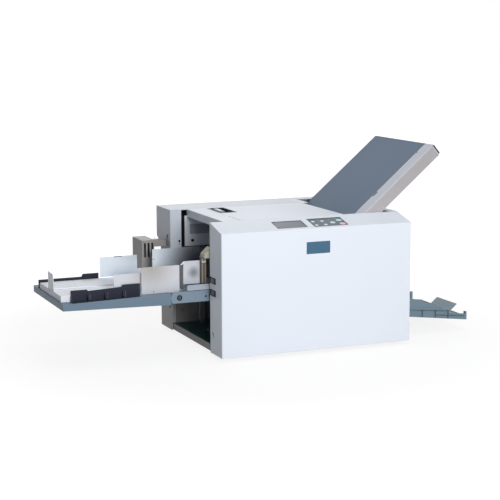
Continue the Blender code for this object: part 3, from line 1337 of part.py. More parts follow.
def make_rollers():
    plate_back = REAR_FRAME_Y + FRAME_PLATE
    gear_y = plate_back + GEAR_GAP
    shaft_end = gear_y - SEAT
    places = roller_places()
    phases = gear_phases()
    for i, place in enumerate(places):
        make_roller("fold_roller_%d" % (i + 1), place, ROLLER_RADIUS, shaft_end if i < GEARED_ROLLERS else plate_back)
    make_roller("delivery_roller", Vector((DELIVERY_ROLLER_X, 0, DELIVERY_ROLLER_Z)), DELIVERY_ROLLER_RADIUS,
                plate_back)
    for i in range(GEARED_ROLLERS):
        place = places[i]
        add_object("fold_gear_%d" % (i + 1),
                   lambda made: toothed(made, (place.x, place.z), GEAR_RADIUS, GEAR_TEETH, phases[i],
                                        gear_y, gear_y + GEAR_WIDTH),
                   "steel", (place.x, gear_y, place.z))
    spot = pinion_place()
    motor_front = gear_y + GEAR_WIDTH + 2 * GEAR_GAP
    pinion = add_object("motor_pinion",
                        lambda made: toothed(made, (spot.x, spot.z), PINION_RADIUS, PINION_TEETH, phases[2],
                                             gear_y, gear_y + GEAR_WIDTH),
                        "steel", (spot.x, gear_y, spot.z))
    join(pinion, lambda made: rod(made, "y", (spot.x, spot.z), ROLLER_SHAFT / 2, gear_y + GEAR_WIDTH / 2,
                                  motor_front - SEAT, KEY_SIDES))

    def motor(made):
        rod(made, "y", (spot.x, spot.z), MOTOR_RADIUS, motor_front, motor_front + MOTOR_LENGTH)

    def legs(made):
        for side in (-1, 1):
            z = spot.z + side * (MOTOR_RADIUS - MOTOR_LEG)
            block(made, (spot.x - MOTOR_RADIUS, spot.x - MOTOR_RADIUS + 2 * MOTOR_LEG),
                  (plate_back + SEAT, motor_front + MOTOR_LEG), (z - MOTOR_LEG / 2, z + MOTOR_LEG / 2))
            block(made, (spot.x - MOTOR_RADIUS, spot.x), (motor_front, motor_front + MOTOR_LEG),
                  (z - MOTOR_LEG / 2, z + MOTOR_LEG / 2))

    body = add_object("main_motor", motor, "black", smooth=True)
    join(body, legs)


def make_suction():
    plate_back = REAR_FRAME_Y + FRAME_PLATE
    middle = (INNER_FRONT + REAR_FRAME_Y) / 2
    drum = (middle - DRUM_LENGTH / 2, middle + DRUM_LENGTH / 2)

    def body(made):
        rod(made, "y", (DRUM_X, DRUM_Z), DRUM_RADIUS, *drum)

    def shaft(made):
        rod(made, "y", (DRUM_X, DRUM_Z), ROLLER_SHAFT, FRONT_FRAME_Y + FRAME_PLATE / 2, plate_back, KEY_SIDES)

    roller = add_object("suction_drum", body, "zinc", (DRUM_X, middle, DRUM_Z), smooth=True)
    join(roller, shaft)

    def box(made):
        block(made, (SUCTION_LEFT, SUCTION_RIGHT), (INNER_FRONT + SEAT, REAR_FRAME_Y - SEAT),
              (SUCTION_LOW, SUCTION_HIGH))

    def hollow(made):
        block(made, (SUCTION_LEFT + SUCTION_WALL, SUCTION_RIGHT - SUCTION_WALL),
              (INNER_FRONT + SUCTION_WALL, REAR_FRAME_Y - SUCTION_WALL),
              (SUCTION_LOW + SUCTION_WALL, SUCTION_HIGH - SUCTION_WALL))
        block(made, (SUCTION_LEFT - CUT_OVER, SUCTION_LEFT + CUT_OVER), drum,
              (DRUM_Z - DRUM_RADIUS / 2, DRUM_Z + DRUM_RADIUS / 2))

    chamber = add_object("suction_box", box, "black")
    cut(chamber, hollow)


# Fold plates and their stoppers
def slope_origin():
    return Vector((CHUTE_TOP_X, 0, BODY_HEIGHT))


def slope_block(made, along, y, square):
    sloped(made, along, y, square, slope_origin(), ALONG, SQUARE)


def chute_reach():
    """Distance down the slope from the body's top to the first nip."""
    return (BODY_HEIGHT - NIP_Z) / math.sin(SLOPE)


def make_fold_plate_1():
    top = PLATE_LENGTH
    low = -PLATE_DIP
    wall = PLATE_SIDE_WALL
    front = PLATE_FRONT_Y
    back = PLATE_BACK_Y
    chute_low = -chute_reach() + CHUTE_START
    deep = -PLATE_DARK_THICK - SEAT
    gap_top = deep - CHUTE_SHEET
    gap_low = gap_top - CHUTE_GAP

    def border(made):
        slope_block(made, (low, top), (front, front + PLATE_BORDER - SEAT), (-PLATE_THICK, 0))

    def under(made):
        slope_block(made, (low, top), (front + wall, back), (-PLATE_THICK, -PLATE_THICK + wall))
        slope_block(made, (low, top), (back - wall, back), (-PLATE_THICK, -PLATE_DARK_THICK - SEAT))
        slope_block(made, (chute_low, top), (CHUTE_FRONT_Y, CHUTE_BACK_Y), (gap_low - CHUTE_SHEET, deep))
        slope_block(made, (top - wall, top), (front + wall, back), (-PLATE_THICK, deep))

    def spaces(made):
        slope_block(made, (low - CUT_OVER, top - wall), (front + wall, front + PLATE_BORDER + wall),
                    (-PLATE_THICK + wall, -wall))
        slope_block(made, (chute_low - CUT_OVER, top - 2 * wall), (CHUTE_FRONT_Y + wall, CHUTE_BACK_Y - wall),
                    (gap_low, gap_top))

    frame = add_object("fold_plate_1", border, "light_border")
    join(frame, under)
    boolean(frame, add_object("fold_plate_1_spaces", spaces, "zinc"), "DIFFERENCE")

    add_object("fold_plate_1_panel",
               lambda made: slope_block(made, (-PANEL_DIP, top), (front + PLATE_BORDER, back), (-PLATE_DARK_THICK, 0)),
               "dark_panel")
    add_object("fold_plate_1_end_cap",
               lambda made: slope_block(made, (top + SEAT, top + PLATE_CAP), (front, back),
                                        (-PLATE_CAP_DROP, 0)), "black")

    stop = STOP_PLACE
    middle = (CHUTE_FRONT_Y + CHUTE_BACK_Y) / 2
    add_object("fold_stop_1",
               lambda made: slope_block(made, (stop, stop + 2 * STOP_BAR),
                                        (CHUTE_FRONT_Y + wall + SEAT, CHUTE_BACK_Y - wall - SEAT),
                                        (gap_low + SEAT, gap_top - SEAT)),
               "steel", slope_origin() + ALONG * stop + Vector((0, middle, 0)))


def make_fold_plate_2():
    places = roller_places()
    nip = (places[1] + places[2]) / 2
    start, end = -LOWER_PLATE_START - LOWER_PLATE_LENGTH, -LOWER_PLATE_START
    half = CHUTE_GAP / 2 + CHUTE_SHEET
    wall = PLATE_SIDE_WALL
    y = (INNER_FRONT + SEAT, REAR_FRAME_Y - SEAT)

    def body(made):
        sloped(made, (start, end), y, (-half, half), nip, ALONG, SQUARE)

    def gap(made):
        sloped(made, (start + wall, end + CUT_OVER), (y[0] + wall, y[1] - wall), (-CHUTE_GAP / 2, CHUTE_GAP / 2),
               nip, ALONG, SQUARE)

    plate = add_object("fold_plate_2", body, "zinc")
    cut(plate, gap)


def make_infeed_guide():
    """Flat tube that leads the sheet from the suction drum into the first nip."""
    y = (INNER_FRONT + SEAT, REAR_FRAME_Y - SEAT)
    start = DRUM_X + DRUM_RADIUS + 2 * GUIDE_SPLIT
    end = NIP_X - ROLLER_PITCH / 2 - GUIDE_SPLIT
    low = NIP_Z - GUIDE_SPLIT / 2

    def tube(made):
        block(made, (start, end), y, (low - GUIDE_SHEET, low + GUIDE_SPLIT + GUIDE_SHEET))

    def inside(made):
        block(made, (start - CUT_OVER, end + CUT_OVER), (y[0] + GUIDE_SHEET, y[1] - GUIDE_SHEET),
              (low, low + GUIDE_SPLIT))

    guide = add_object("infeed_guide", tube, "steel")
    cut(guide, inside)


# Suction fan and mains inlet
def make_fan():
    half = FAN_BOX / 2
    y = (FAN_Y, FAN_Y + FAN_DEPTH)

    def box(made):
        block(made, (FAN_X - half, FAN_X + half), y, (FAN_Z - half, FAN_Z + half))

    def hollow(made):
        rod(made, "y", (FAN_X, FAN_Z), FAN_RADIUS + FAN_WALL / 2, y[0] - CUT_OVER, y[1] - FAN_WALL)

    def stub(made):
        rod(made, "y", (FAN_X, FAN_Z), FAN_HUB / 2, y[1] - FAN_DEPTH / 2, y[1] - FAN_WALL / 2, KEY_SIDES)

    housing = add_object("suction_fan_housing", box, "black")
    cut(housing, hollow)
    join(housing, stub)

    def hub(made):
        rod(made, "y", (FAN_X, FAN_Z), FAN_HUB, y[0] + FAN_WALL, y[1] - 2 * FAN_WALL, KEY_SIDES)

    def blades(made):
        for i in range(FAN_BLADES):
            turn = Matrix.Rotation(2 * math.pi * i / FAN_BLADES, 3, "Y")
            grown = block(made, (FAN_HUB - FAN_BLADE_THICK, FAN_RADIUS), (y[0] + FAN_WALL, y[1] - 2 * FAN_WALL),
                          (-FAN_BLADE_THICK / 2, FAN_BLADE_THICK / 2))
            bmesh.ops.rotate(made, verts=grown, cent=(0, 0, 0), matrix=turn)
            bmesh.ops.translate(made, verts=grown, vec=(FAN_X, 0, FAN_Z))

    def bore(made):
        rod(made, "y", (FAN_X, FAN_Z), FAN_HUB / 2 + RUN, y[0] + 2 * FAN_WALL, y[1], KEY_SIDES)

    wheel = add_object("fan_impeller", hub, "steel", (FAN_X, FAN_Y, FAN_Z))
    join(wheel, blades)
    boolean(wheel, add_object("fan_impeller_bore", bore, "zinc"), "DIFFERENCE")


def make_inlet():
    wall = COVER_WALL
    half_x = INLET_WIDTH / 2 - SEAT
    half_z = INLET_HEIGHT / 2 - SEAT
    back = BODY_DEPTH

    def socket(made):
        block(made, (INLET_X - half_x, INLET_X + half_x), (back - INLET_DEPTH, back + wall),
              (INLET_Z - half_z, INLET_Z + half_z))

    def flange(made):
        block(made, (INLET_X - half_x - INLET_FLANGE, INLET_X + half_x + INLET_FLANGE), (back + SEAT, back + wall),
              (INLET_Z - half_z - INLET_FLANGE / 2, INLET_Z + half_z + INLET_FLANGE / 2))

    def well(made):
        block(made, (INLET_X - half_x + wall, INLET_X + half_x - wall), (back - INLET_DEPTH + wall, back + 2 * wall),
              (INLET_Z - half_z + wall, INLET_Z + half_z - wall))

    def pins(made):
        for i in (-1, 0, 1):
            x = INLET_X + i * half_x / 2
            block(made, (x - INLET_PIN / 2, x + INLET_PIN / 2), (back - INLET_DEPTH + wall / 2, back - wall),
                  (INLET_Z - INLET_PIN, INLET_Z + INLET_PIN))

    inlet = add_object("power_inlet", socket, "black")
    join(inlet, flange)
    boolean(inlet, add_object("power_inlet_well", well, "zinc"), "DIFFERENCE")
    boolean(inlet, add_object("power_inlet_pins", pins, "zinc"), "UNION")


# Delivery tray and its stopper
def tray_height(x, lift=0.0):
    """Height at x of a line parallel to the delivery tray's bottom."""
    return TRAY2_BASE_LEFT_Z + TRAY2_SLOPE_SHARE * (x - TRAY2_LEFT) + lift


def make_delivery_tray():
    left, right = TRAY2_LEFT, TRAY2_RIGHT
    front, back = TRAY2_FRONT_Y, TRAY2_BACK_Y
    wall = TRAY2_WALL
    high = TRAY2_WALL_HEIGHT
    step = TRAY2_STEP_X
    lower = high - TRAY2_STEP_DROP

    def body(made):
        prism(made, [(left, tray_height(left)), (left, tray_height(left, high)), (step, tray_height(step, high)),
                     (step, tray_height(step, lower)), (right, tray_height(right, lower)),
                     (right, tray_height(right))], "y", front, back)

    def trough(made):
        prism(made, [(left - CUT_OVER, tray_height(left - CUT_OVER, high / 2)),
                     (left - CUT_OVER, TRAY2_POST_TOP), (right - TRAY2_LIP, TRAY2_POST_TOP),
                     (right - TRAY2_LIP, tray_height(right, high / 2))], "y", front + 2 * wall, back - 2 * wall)
        prism(made, [(left + wall, tray_height(left + wall, -CUT_OVER)),
                     (left + wall, tray_height(left + wall, high / 2 - wall)),
                     (right - TRAY2_LIP, tray_height(right - TRAY2_LIP, high / 2 - wall)),
                     (right - TRAY2_LIP, tray_height(right - TRAY2_LIP, -CUT_OVER))],
              "y", front + wall, back - wall)

    def flanks(made):
        for y in (front + wall, back - 2 * wall):
            prism(made, [(left, tray_height(left, high / 2)), (left, TRAY2_FLANK_TOP + TRAY2_LIP),
                         (step, TRAY2_FLANK_END), (step, tray_height(step, high / 2))], "y", y, y + wall)

    def posts(made):
        x = TRAY2_POST_X
        for y in (front + wall / 2, back - 2 * wall - wall / 2):
            block(made, (x, x + TRAY2_POST_WIDTH), (y, y + 2 * wall), (tray_height(x, high / 2), TRAY2_POST_TOP))
        block(made, (right - TRAY2_LIP, right), (front, back), (tray_height(right, high / 2),
              tray_height(right, TRAY2_LIP_HEIGHT)))

    def ribs(made):
        for share in TRAY2_RIB_SHARES:
            x = left + share * (right - left)
            block(made, (x, x + TRAY2_RIB), (front - TRAY2_RIB_PROUD, front + wall / 2),
                  (tray_height(x), tray_height(x, lower)))

    def hooks(made):
        y = (INNER_FRONT + DELIVERY_EDGE + wall, INNER_FRONT + DELIVERY_EDGE + TRAY2_HOOK)
        y_back = (REAR_FRAME_Y - DELIVERY_EDGE - TRAY2_HOOK, REAR_FRAME_Y - DELIVERY_EDGE - wall)
        for span in (y, y_back):
            block(made, (BODY_WIDTH - COVER_WALL - TRAY2_HOOK / 2, left + wall), span,
                  (DELIVERY_LOW + SEAT, DELIVERY_LOW + wall))
            block(made, (BODY_WIDTH - COVER_WALL - TRAY2_HOOK / 2, BODY_WIDTH - COVER_WALL - SEAT), span,
                  (DELIVERY_LOW - wall, DELIVERY_LOW + wall))

    tray = add_object("delivery_tray", body, "blue_grey")
    cut(tray, trough)
    join(tray, flanks)
    boolean(tray, add_object("delivery_tray_posts", posts, "zinc"), "UNION")
    boolean(tray, add_object("delivery_tray_ribs", ribs, "zinc"), "UNION")
    boolean(tray, add_object("delivery_tray_hooks", hooks, "zinc"), "UNION")


def make_delivery_stopper():
    """Bent plate that stands tilted on the tray's floor and slides along it."""
    lean = math.radians(STOPPER_LEAN_DEG)
    rise = Vector((math.cos(lean), 0, math.sin(lean)))
    face = Vector((-math.sin(lean), 0, math.cos(lean)))
    foot = Vector((STOPPER_X, 0, tray_height(STOPPER_X, TRAY2_WALL_HEIGHT / 2) + 2 * SEAT + STOPPER_THICK))
    y = (STOPPER_Y, STOPPER_Y + STOPPER_LENGTH)

    def plate(made):
        sloped(made, (-STOPPER_THICK, STOPPER_WIDTH), y, (-STOPPER_THICK, 0), foot, rise, face)

    def base(made):
        x = (STOPPER_X - STOPPER_WIDTH / 2, STOPPER_X + STOPPER_THICK)
        lift = TRAY2_WALL_HEIGHT / 2 + 2 * SEAT
        prism(made, [(x[0], tray_height(x[0], lift)), (x[0], tray_height(x[0], lift + STOPPER_THICK)),
                     (x[1], tray_height(x[1], lift + STOPPER_THICK)), (x[1], tray_height(x[1], lift))], "y", *y)

    def holes(made):
        for share in STOPPER_HOLE_SHARES:
            middle = y[0] + share * STOPPER_LENGTH
            sloped(made, (STOPPER_WIDTH / 2 - STOPPER_HOLE, STOPPER_WIDTH / 2 + STOPPER_HOLE),
                   (middle - STOPPER_HOLE, middle + STOPPER_HOLE), (-CUT_OVER, CUT_OVER), foot, rise, face)

    stopper = add_object("delivery_stopper", plate, "blue_grey", (STOPPER_X, STOPPER_Y, foot.z))
    join(stopper, base)
    boolean(stopper, add_object("delivery_stopper_holes", holes, "zinc"), "DIFFERENCE")


def main():
    global MACHINE
    clear_scene()
    MATERIALS.clear()
    MACHINE = bpy.data.objects.new("machine", None)
    bpy.context.scene.collection.objects.link(MACHINE)
    make_front_cover()
    make_rear_cover()
    make_lower_left_cover()
    make_right_cover()
    make_top_covers()
    make_control_panel()
    make_switches()
    make_base()
    make_frames()
    make_feed_table()
    make_sheet_support()
    make_tail_guide()
    make_edge_guides()
    make_fences()
    make_blower()
    make_feed_post()
    make_lift_guide()
    make_rollers()
    make_suction()
    make_fold_plate_1()
    make_fold_plate_2()
    make_infeed_guide()
    make_fan()
    make_inlet()
    make_delivery_tray()
    make_delivery_stopper()
    MACHINE.location = (-(LEFT_END + RIGHT_END) / 2, -BACK_END / 2, FOOT_HEIGHT)
    bpy.context.view_layer.update()


main()
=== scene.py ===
"""Dressed model of a paper folding machine, with its camera, floor and studio light."""
import json
import math
import bmesh
import bpy
from mathutils import Matrix, Vector


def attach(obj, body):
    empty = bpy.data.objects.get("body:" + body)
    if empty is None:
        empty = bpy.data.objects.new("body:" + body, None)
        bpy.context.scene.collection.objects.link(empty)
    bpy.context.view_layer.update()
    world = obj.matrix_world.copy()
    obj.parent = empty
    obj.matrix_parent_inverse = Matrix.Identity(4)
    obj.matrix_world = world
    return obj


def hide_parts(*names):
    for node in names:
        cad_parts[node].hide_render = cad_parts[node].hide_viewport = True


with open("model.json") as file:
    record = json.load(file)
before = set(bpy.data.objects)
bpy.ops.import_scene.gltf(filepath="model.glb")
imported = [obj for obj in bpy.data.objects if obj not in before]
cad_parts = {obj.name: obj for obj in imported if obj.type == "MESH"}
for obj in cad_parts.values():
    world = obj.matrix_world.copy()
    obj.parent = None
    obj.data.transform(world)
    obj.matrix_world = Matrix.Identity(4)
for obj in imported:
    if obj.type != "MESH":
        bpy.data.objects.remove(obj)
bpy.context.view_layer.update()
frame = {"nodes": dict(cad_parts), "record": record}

# Machine coordinates run from the front cover's lower left corner; this is their place in the row frame
ROW = Vector((-0.2495, -0.29975, 0.012))
BODY_OF = {node: body for body,
        members in frame["record"]["behaviour"]["bodies"].items() for node in members}
BLADE_X = (-0.4937, -0.4918)
CHAMFER = math.atan2(0.0256, 0.1025)
SLOPE = math.radians(40.2)
STOPPER_LEAN = math.radians(40)
STOPPER_FOOT = (0.9213, 0, 0.0464)
PLATE_FOOT = (0.579, 0, 0.439)
CHAMFER_Z = 0.4134
BODY_RIGHT = 0.700
BODY_BACK = 0.597
MOTOR = (0.3676, 0.2832)
MOTOR_END = 0.5695
MOTOR_SCREW_RING = 0.021
DRUM = (0.150, 0.331)
DRUM_RADIUS = 0.024
BEARINGS = ((0.395, 0.3169), (0.395, 0.2832), (0.4168, 0.2574), (0.4168, 0.2237), (0.655, 0.120))
RIB_PLACES = (0.8155, 0.8687, 0.9213)
SHARP = math.radians(35)
LEAST_TURN = math.radians(30)
FLAT_ANGLE = math.radians(0.8)
MERGE_DISTANCE = 0.00001

# Studio: name, place, size and watts of each softbox
SOFTBOXES = (("front_softbox", (-0.35, -4.4, 1.5), (1.8, 1.4), 131),
             ("top_softbox", (0.3, -0.2, 3.2), (2.6, 2.2), 27),
             ("right_fill", (3.4, -0.4, 1.5), (1.8, 1.8), 18),
             ("back_fill", (0.6, 3.4, 1.9), (2.4, 1.6), 22))
ROOM_LIGHT = 0.15
FLOOR_TONE = (0.62, 0.62, 0.62, 1)
FLOOR_GLOW = 1.12
PHOTO_PLACE = (-1.92735, -4.52387, 1.10848)
PHOTO_RIGHT = Vector((0.9214633, -0.3884544, -0.0029126))
PHOTO_UP = Vector((0.0646112, 0.1458640, 0.9871925))
PHOTO_LENS = 102.331
PHOTO_SENSOR = 36


# Shader groups shared by the finishes
def group(name, inputs, outputs):
    made = bpy.data.node_groups.new(name, "ShaderNodeTree")
    for label, kind, value in inputs:
        made.interface.new_socket(label, in_out="INPUT", socket_type=kind).default_value = value
    for label, kind in outputs:
        made.interface.new_socket(label, in_out="OUTPUT", socket_type=kind)
    return made, made.nodes.new("NodeGroupInput"), made.nodes.new("NodeGroupOutput")


def node(tree, kind, **settings):
    made = tree.nodes.new("ShaderNode" + kind)
    for key, value in settings.items():
        setattr(made, key, value)
    return made


def math_node(tree, operation, first, second):
    made = node(tree, "Math", operation=operation)
    for socket, value in zip(made.inputs, (first, second)):
        if isinstance(value, (int, float)):
            socket.default_value = value
        else:
            tree.links.new(value, socket)
    return made.outputs[0]


def make_tone_drift():
    """Slow change between two tones of one finish, with fine speckle on top."""
    tree, given, out = group("tone_drift", [("Tone", "NodeSocketColor", (0.8, 0.8, 0.8, 1)),
            ("Other Tone", "NodeSocketColor", (0.7, 0.7, 0.7, 1)), ("Drift Scale", "NodeSocketFloat", 4.0),
            ("Speckle Scale", "NodeSocketFloat", 600.0)], [("Colour", "NodeSocketColor"),
            ("Amount", "NodeSocketFloat")])
    place = node(tree, "TexCoord")
    drift = node(tree, "TexNoise")
    drift.inputs["Detail"].default_value = 3
    speckle = node(tree, "TexNoise")
    speckle.inputs["Detail"].default_value = 1
    tree.links.new(place.outputs["Object"], drift.inputs["Vector"])
    tree.links.new(place.outputs["Object"], speckle.inputs["Vector"])
    tree.links.new(given.outputs["Drift Scale"], drift.inputs["Scale"])
    tree.links.new(given.outputs["Speckle Scale"], speckle.inputs["Scale"])
    fine = math_node(tree, "MULTIPLY", speckle.outputs["Fac"], 0.35)
    slow = math_node(tree, "MULTIPLY", drift.outputs["Fac"], 0.9)
    amount = math_node(tree, "ADD", fine, math_node(tree, "SUBTRACT", slow, 0.12))
    mix = node(tree, "Mix", data_type="RGBA")
    tree.links.new(amount, mix.inputs[0])
    tree.links.new(given.outputs["Tone"], mix.inputs[6])
    tree.links.new(given.outputs["Other Tone"], mix.inputs[7])
    tree.links.new(mix.outputs[2], out.inputs["Colour"])
    tree.links.new(amount, out.inputs["Amount"])
    return tree


def make_fine_grain():
    """Height of moulded grain or of orange peel in paint."""
    tree, given, out = group("fine_grain", [("Scale", "NodeSocketFloat", 900.0),
            ("Peel", "NodeSocketFloat", 0.3)], [("Height", "NodeSocketFloat")])
    place = node(tree, "TexCoord")
    pits = node(tree, "TexVoronoi", feature="SMOOTH_F1")
    waves = node(tree, "TexNoise")
    waves.inputs["Detail"].default_value = 2
    for texture in (pits, waves):
        tree.links.new(place.outputs["Object"], texture.inputs["Vector"])
    tree.links.new(given.outputs["Scale"], pits.inputs["Scale"])
    tree.links.new(math_node(tree, "MULTIPLY", given.outputs["Scale"], 0.3), waves.inputs["Scale"])
    peel = math_node(tree, "MULTIPLY", waves.outputs["Fac"], given.outputs["Peel"])
    tree.links.new(math_node(tree, "ADD", pits.outputs["Distance"], peel), out.inputs["Height"])
    return tree


def make_drawn_streaks():
    """Long thin lines of rolled or brushed sheet; Stretch holds the line density along each axis."""
    tree, given, out = group("drawn_streaks", [("Stretch", "NodeSocketVector", (8, 400, 400))],
            [("Streak", "NodeSocketFloat")])
    place = node(tree, "TexCoord")
    scaled = node(tree, "VectorMath", operation="MULTIPLY")
    lines = node(tree, "TexNoise")
    lines.inputs["Scale"].default_value = 1
    lines.inputs["Detail"].default_value = 4
    tree.links.new(place.outputs["Object"], scaled.inputs[0])
    tree.links.new(given.outputs["Stretch"], scaled.inputs[1])
    tree.links.new(scaled.outputs[0], lines.inputs["Vector"])
    tree.links.new(lines.outputs["Fac"], out.inputs["Streak"])
    return tree


def make_edge_rub():
    """Mask that is 1 where an outer edge is rubbed bright, broken up by noise."""
    tree, given, out = group("edge_rub", [("Radius", "NodeSocketFloat", 0.0012),
            ("Break Up", "NodeSocketFloat", 120.0)], [("Mask", "NodeSocketFloat")])
    round_normal = node(tree, "Bevel", samples=4)
    here = node(tree, "NewGeometry")
    place = node(tree, "TexCoord")
    dot = node(tree, "VectorMath", operation="DOT_PRODUCT")
    patches = node(tree, "TexNoise")
    tree.links.new(given.outputs["Radius"], round_normal.inputs["Radius"])
    tree.links.new(round_normal.outputs[0], dot.inputs[0])
    tree.links.new(here.outputs["Normal"], dot.inputs[1])
    tree.links.new(place.outputs["Object"], patches.inputs["Vector"])
    tree.links.new(given.outputs["Break Up"], patches.inputs["Scale"])
    edge = math_node(tree, "MULTIPLY", math_node(tree, "SUBTRACT", 1.0, dot.outputs["Value"]), 4.0)
    broken = node(tree, "Math", operation="MULTIPLY", use_clamp=True)
    tree.links.new(edge, broken.inputs[0])
    tree.links.new(patches.outputs["Fac"], broken.inputs[1])
    tree.links.new(broken.outputs[0], out.inputs["Mask"])
    return tree


def make_soft_patch():
    """Blurred spot: 1 in its middle, 0 from its reach outwards."""
    tree, given, out = group("soft_patch", [("Middle", "NodeSocketVector", (0, 0, 0)),
            ("Reach", "NodeSocketFloat", 0.05)], [("Mask", "NodeSocketFloat")])
    place = node(tree, "TexCoord")
    away = node(tree, "VectorMath", operation="DISTANCE")
    fade = node(tree, "MapRange", interpolation_type="SMOOTHSTEP")
    fade.inputs["To Min"].default_value = 1
    fade.inputs["To Max"].default_value = 0
    tree.links.new(place.outputs["Object"], away.inputs[0])
    tree.links.new(given.outputs["Middle"], away.inputs[1])
    tree.links.new(away.outputs["Value"], fade.inputs["Value"])
    tree.links.new(given.outputs["Reach"], fade.inputs["From Max"])
    tree.links.new(fade.outputs[0], out.inputs["Mask"])
    return tree


TONE_DRIFT = make_tone_drift()
SOFT_PATCH = make_soft_patch()
FINE_GRAIN = make_fine_grain()
DRAWN_STREAKS = make_drawn_streaks()
EDGE_RUB = make_edge_rub()


def use(tree, kind, **values):
    made = tree.nodes.new("ShaderNodeGroup")
    made.node_tree = kind
    for label, value in values.items():
        made.inputs[label.replace("_", " ")].default_value = value
    return made


def shade(colour, factor):
    return tuple(min(1.0, part * factor) for part in colour)


def start_finish(name):
    made = bpy.data.materials.new(name)
    made.use_nodes = True
    return made, made.node_tree, made.node_tree.nodes["Principled BSDF"]


def add_bump(tree, shader, height, depth, strength):
    bump = node(tree, "Bump")
    bump.inputs["Distance"].default_value = depth
    bump.inputs["Strength"].default_value = strength
    tree.links.new(height, bump.inputs["Height"])
    tree.links.new(bump.outputs["Normal"], shader.inputs["Normal"])


def spread(tree, value, low, high, socket):
    """Send value, from 0 to 1, to a socket as a range from low to high."""
    scale = node(tree, "MapRange")
    scale.inputs["To Min"].default_value = low
    scale.inputs["To Max"].default_value = high
    tree.links.new(value, scale.inputs["Value"])
    tree.links.new(scale.outputs[0], socket)


def coated(name, colour, rough, grain=900.0, depth=0.00006, strength=0.25, rub=0.25, coat=0.0, drift=3.0,
           contrast=0.9, gloss=0.3):
    """Paint or moulded plastic: drifting tone, grain, uneven gloss and edges rubbed lighter."""
    made, tree, shader = start_finish(name)
    tone = use(tree, TONE_DRIFT, Tone=(*colour, 1), Other_Tone=(*shade(colour, contrast), 1),
            Drift_Scale=drift)
    worn = use(tree, EDGE_RUB)
    mix = node(tree, "Mix", data_type="RGBA")
    mix.inputs[7].default_value = (*shade([0.6 * part + 0.28 for part in colour], 1.0), 1)
    tree.links.new(math_node(tree, "MULTIPLY", worn.outputs["Mask"], rub), mix.inputs[0])
    tree.links.new(tone.outputs["Colour"], mix.inputs[6])
    tree.links.new(mix.outputs[2], shader.inputs["Base Color"])
    spread(tree, tone.outputs["Amount"], rough - 0.05, rough + 0.07, shader.inputs["Roughness"])
    surface = use(tree, FINE_GRAIN, Scale=grain)
    add_bump(tree, shader, surface.outputs["Height"], depth, strength)
    shader.inputs["Coat Weight"].default_value = coat
    shader.inputs["Coat Roughness"].default_value = 0.2
    shader.inputs["Specular IOR Level"].default_value = gloss
    return made


def sheet_metal(name, colour, rough, stretch, streak=0.16, rub=0.3):
    """Bare, plated or anodised metal with drawn lines and mottled tone."""
    made, tree, shader = start_finish(name)
    shader.inputs["Metallic"].default_value = 1.0
    tone = use(tree, TONE_DRIFT, Tone=(*colour, 1), Other_Tone=(*shade(colour, 0.80), 1), Drift_Scale=14.0,
            Speckle_Scale=350.0)
    worn = use(tree, EDGE_RUB)
    mix = node(tree, "Mix", data_type="RGBA")
    mix.inputs[7].default_value = (*shade(colour, 1.35), 1)
    tree.links.new(math_node(tree, "MULTIPLY", worn.outputs["Mask"], rub), mix.inputs[0])
    tree.links.new(tone.outputs["Colour"], mix.inputs[6])
    tree.links.new(mix.outputs[2], shader.inputs["Base Color"])
    lines = use(tree, DRAWN_STREAKS, Stretch=stretch)
    spread(tree, lines.outputs["Streak"], rough - streak / 2, rough + streak, shader.inputs["Roughness"])
    add_bump(tree, shader, lines.outputs["Streak"], 0.00004, 0.25)
    return made


def fence_metal_with_painted_reflections(name, colour, patches):
    """Satin fence sheet with soft patches of painted reflection and painted shade.

    Each painted patch is its place, reach, colour and share.
    """
    made, tree, shader = start_finish(name)
    shader.inputs["Metallic"].default_value = 0.25
    lines = use(tree, DRAWN_STREAKS, Stretch=(5, 90, 500))
    tone = use(tree, TONE_DRIFT, Tone=(*colour, 1), Other_Tone=(*shade(colour, 0.90), 1), Drift_Scale=12.0)
    last = tone.outputs["Colour"]
    # Each patch mixes a painted reflection or painted shade into the base tone.
    for middle, reach, patch, share in patches:
        spot = use(tree, SOFT_PATCH, Middle=tuple(Vector(middle) + ROW), Reach=reach)
        mix = node(tree, "Mix", data_type="RGBA")
        mix.inputs[7].default_value = (*patch, 1)
        tree.links.new(math_node(tree, "MULTIPLY", spot.outputs["Mask"], share), mix.inputs[0])
        tree.links.new(last, mix.inputs[6])
        last = mix.outputs[2]
    tree.links.new(last, shader.inputs["Base Color"])
    spread(tree, lines.outputs["Streak"], 0.34, 0.52, shader.inputs["Roughness"])
    add_bump(tree, shader, lines.outputs["Streak"], 0.00004, 0.25)
    return made


WHITE = coated("white_paint", (0.820, 0.865, 0.945), 0.42, grain=700.0, depth=0.00005, coat=0.04,
        contrast=0.965, gloss=0.2)
# Darker copy of white_paint for the top faces: painted shade.
WHITE_PAINT_SHADED_TOP = coated("white_paint_painted_shade_top", (0.735, 0.785, 0.865), 0.45, grain=700.0, coat=0.02, contrast=0.965)
# Darker still copy of white_paint for the whole rear cover: painted shade.
WHITE_PAINT_SHADED_REAR = coated("white_paint_painted_shade_rear", (0.620, 0.665, 0.735), 0.45, grain=700.0, coat=0.02, contrast=0.96)
WEDGE_BEIGE = coated("wedge_beige_plastic", (0.500, 0.500, 0.400), 0.5, grain=1200.0)
SIDE_GREY = coated("side_grey_paint", (0.470, 0.465, 0.470), 0.5, grain=700.0)
TRAY_BLUE = coated("tray_blue_plastic", (0.155, 0.225, 0.300), 0.48, grain=1100.0, depth=0.00009,
        strength=0.4)
ARM_BLUE = coated("arm_blue_paint", (0.215, 0.285, 0.360), 0.42, grain=800.0, coat=0.1)
DELIVERY_BLUE = coated("delivery_blue_plastic", (0.175, 0.250, 0.305), 0.42, grain=1100.0, depth=0.00009)
SLATE = coated("slate_paint", (0.172, 0.232, 0.318), 0.55, grain=650.0, contrast=0.95, gloss=0.08)
BORDER = coated("border_grey_paint", (0.600, 0.620, 0.700), 0.45, grain=650.0, contrast=0.96)
BORDER_WARM = coated("border_warm_paint", (0.450, 0.430, 0.440), 0.5, grain=650.0)
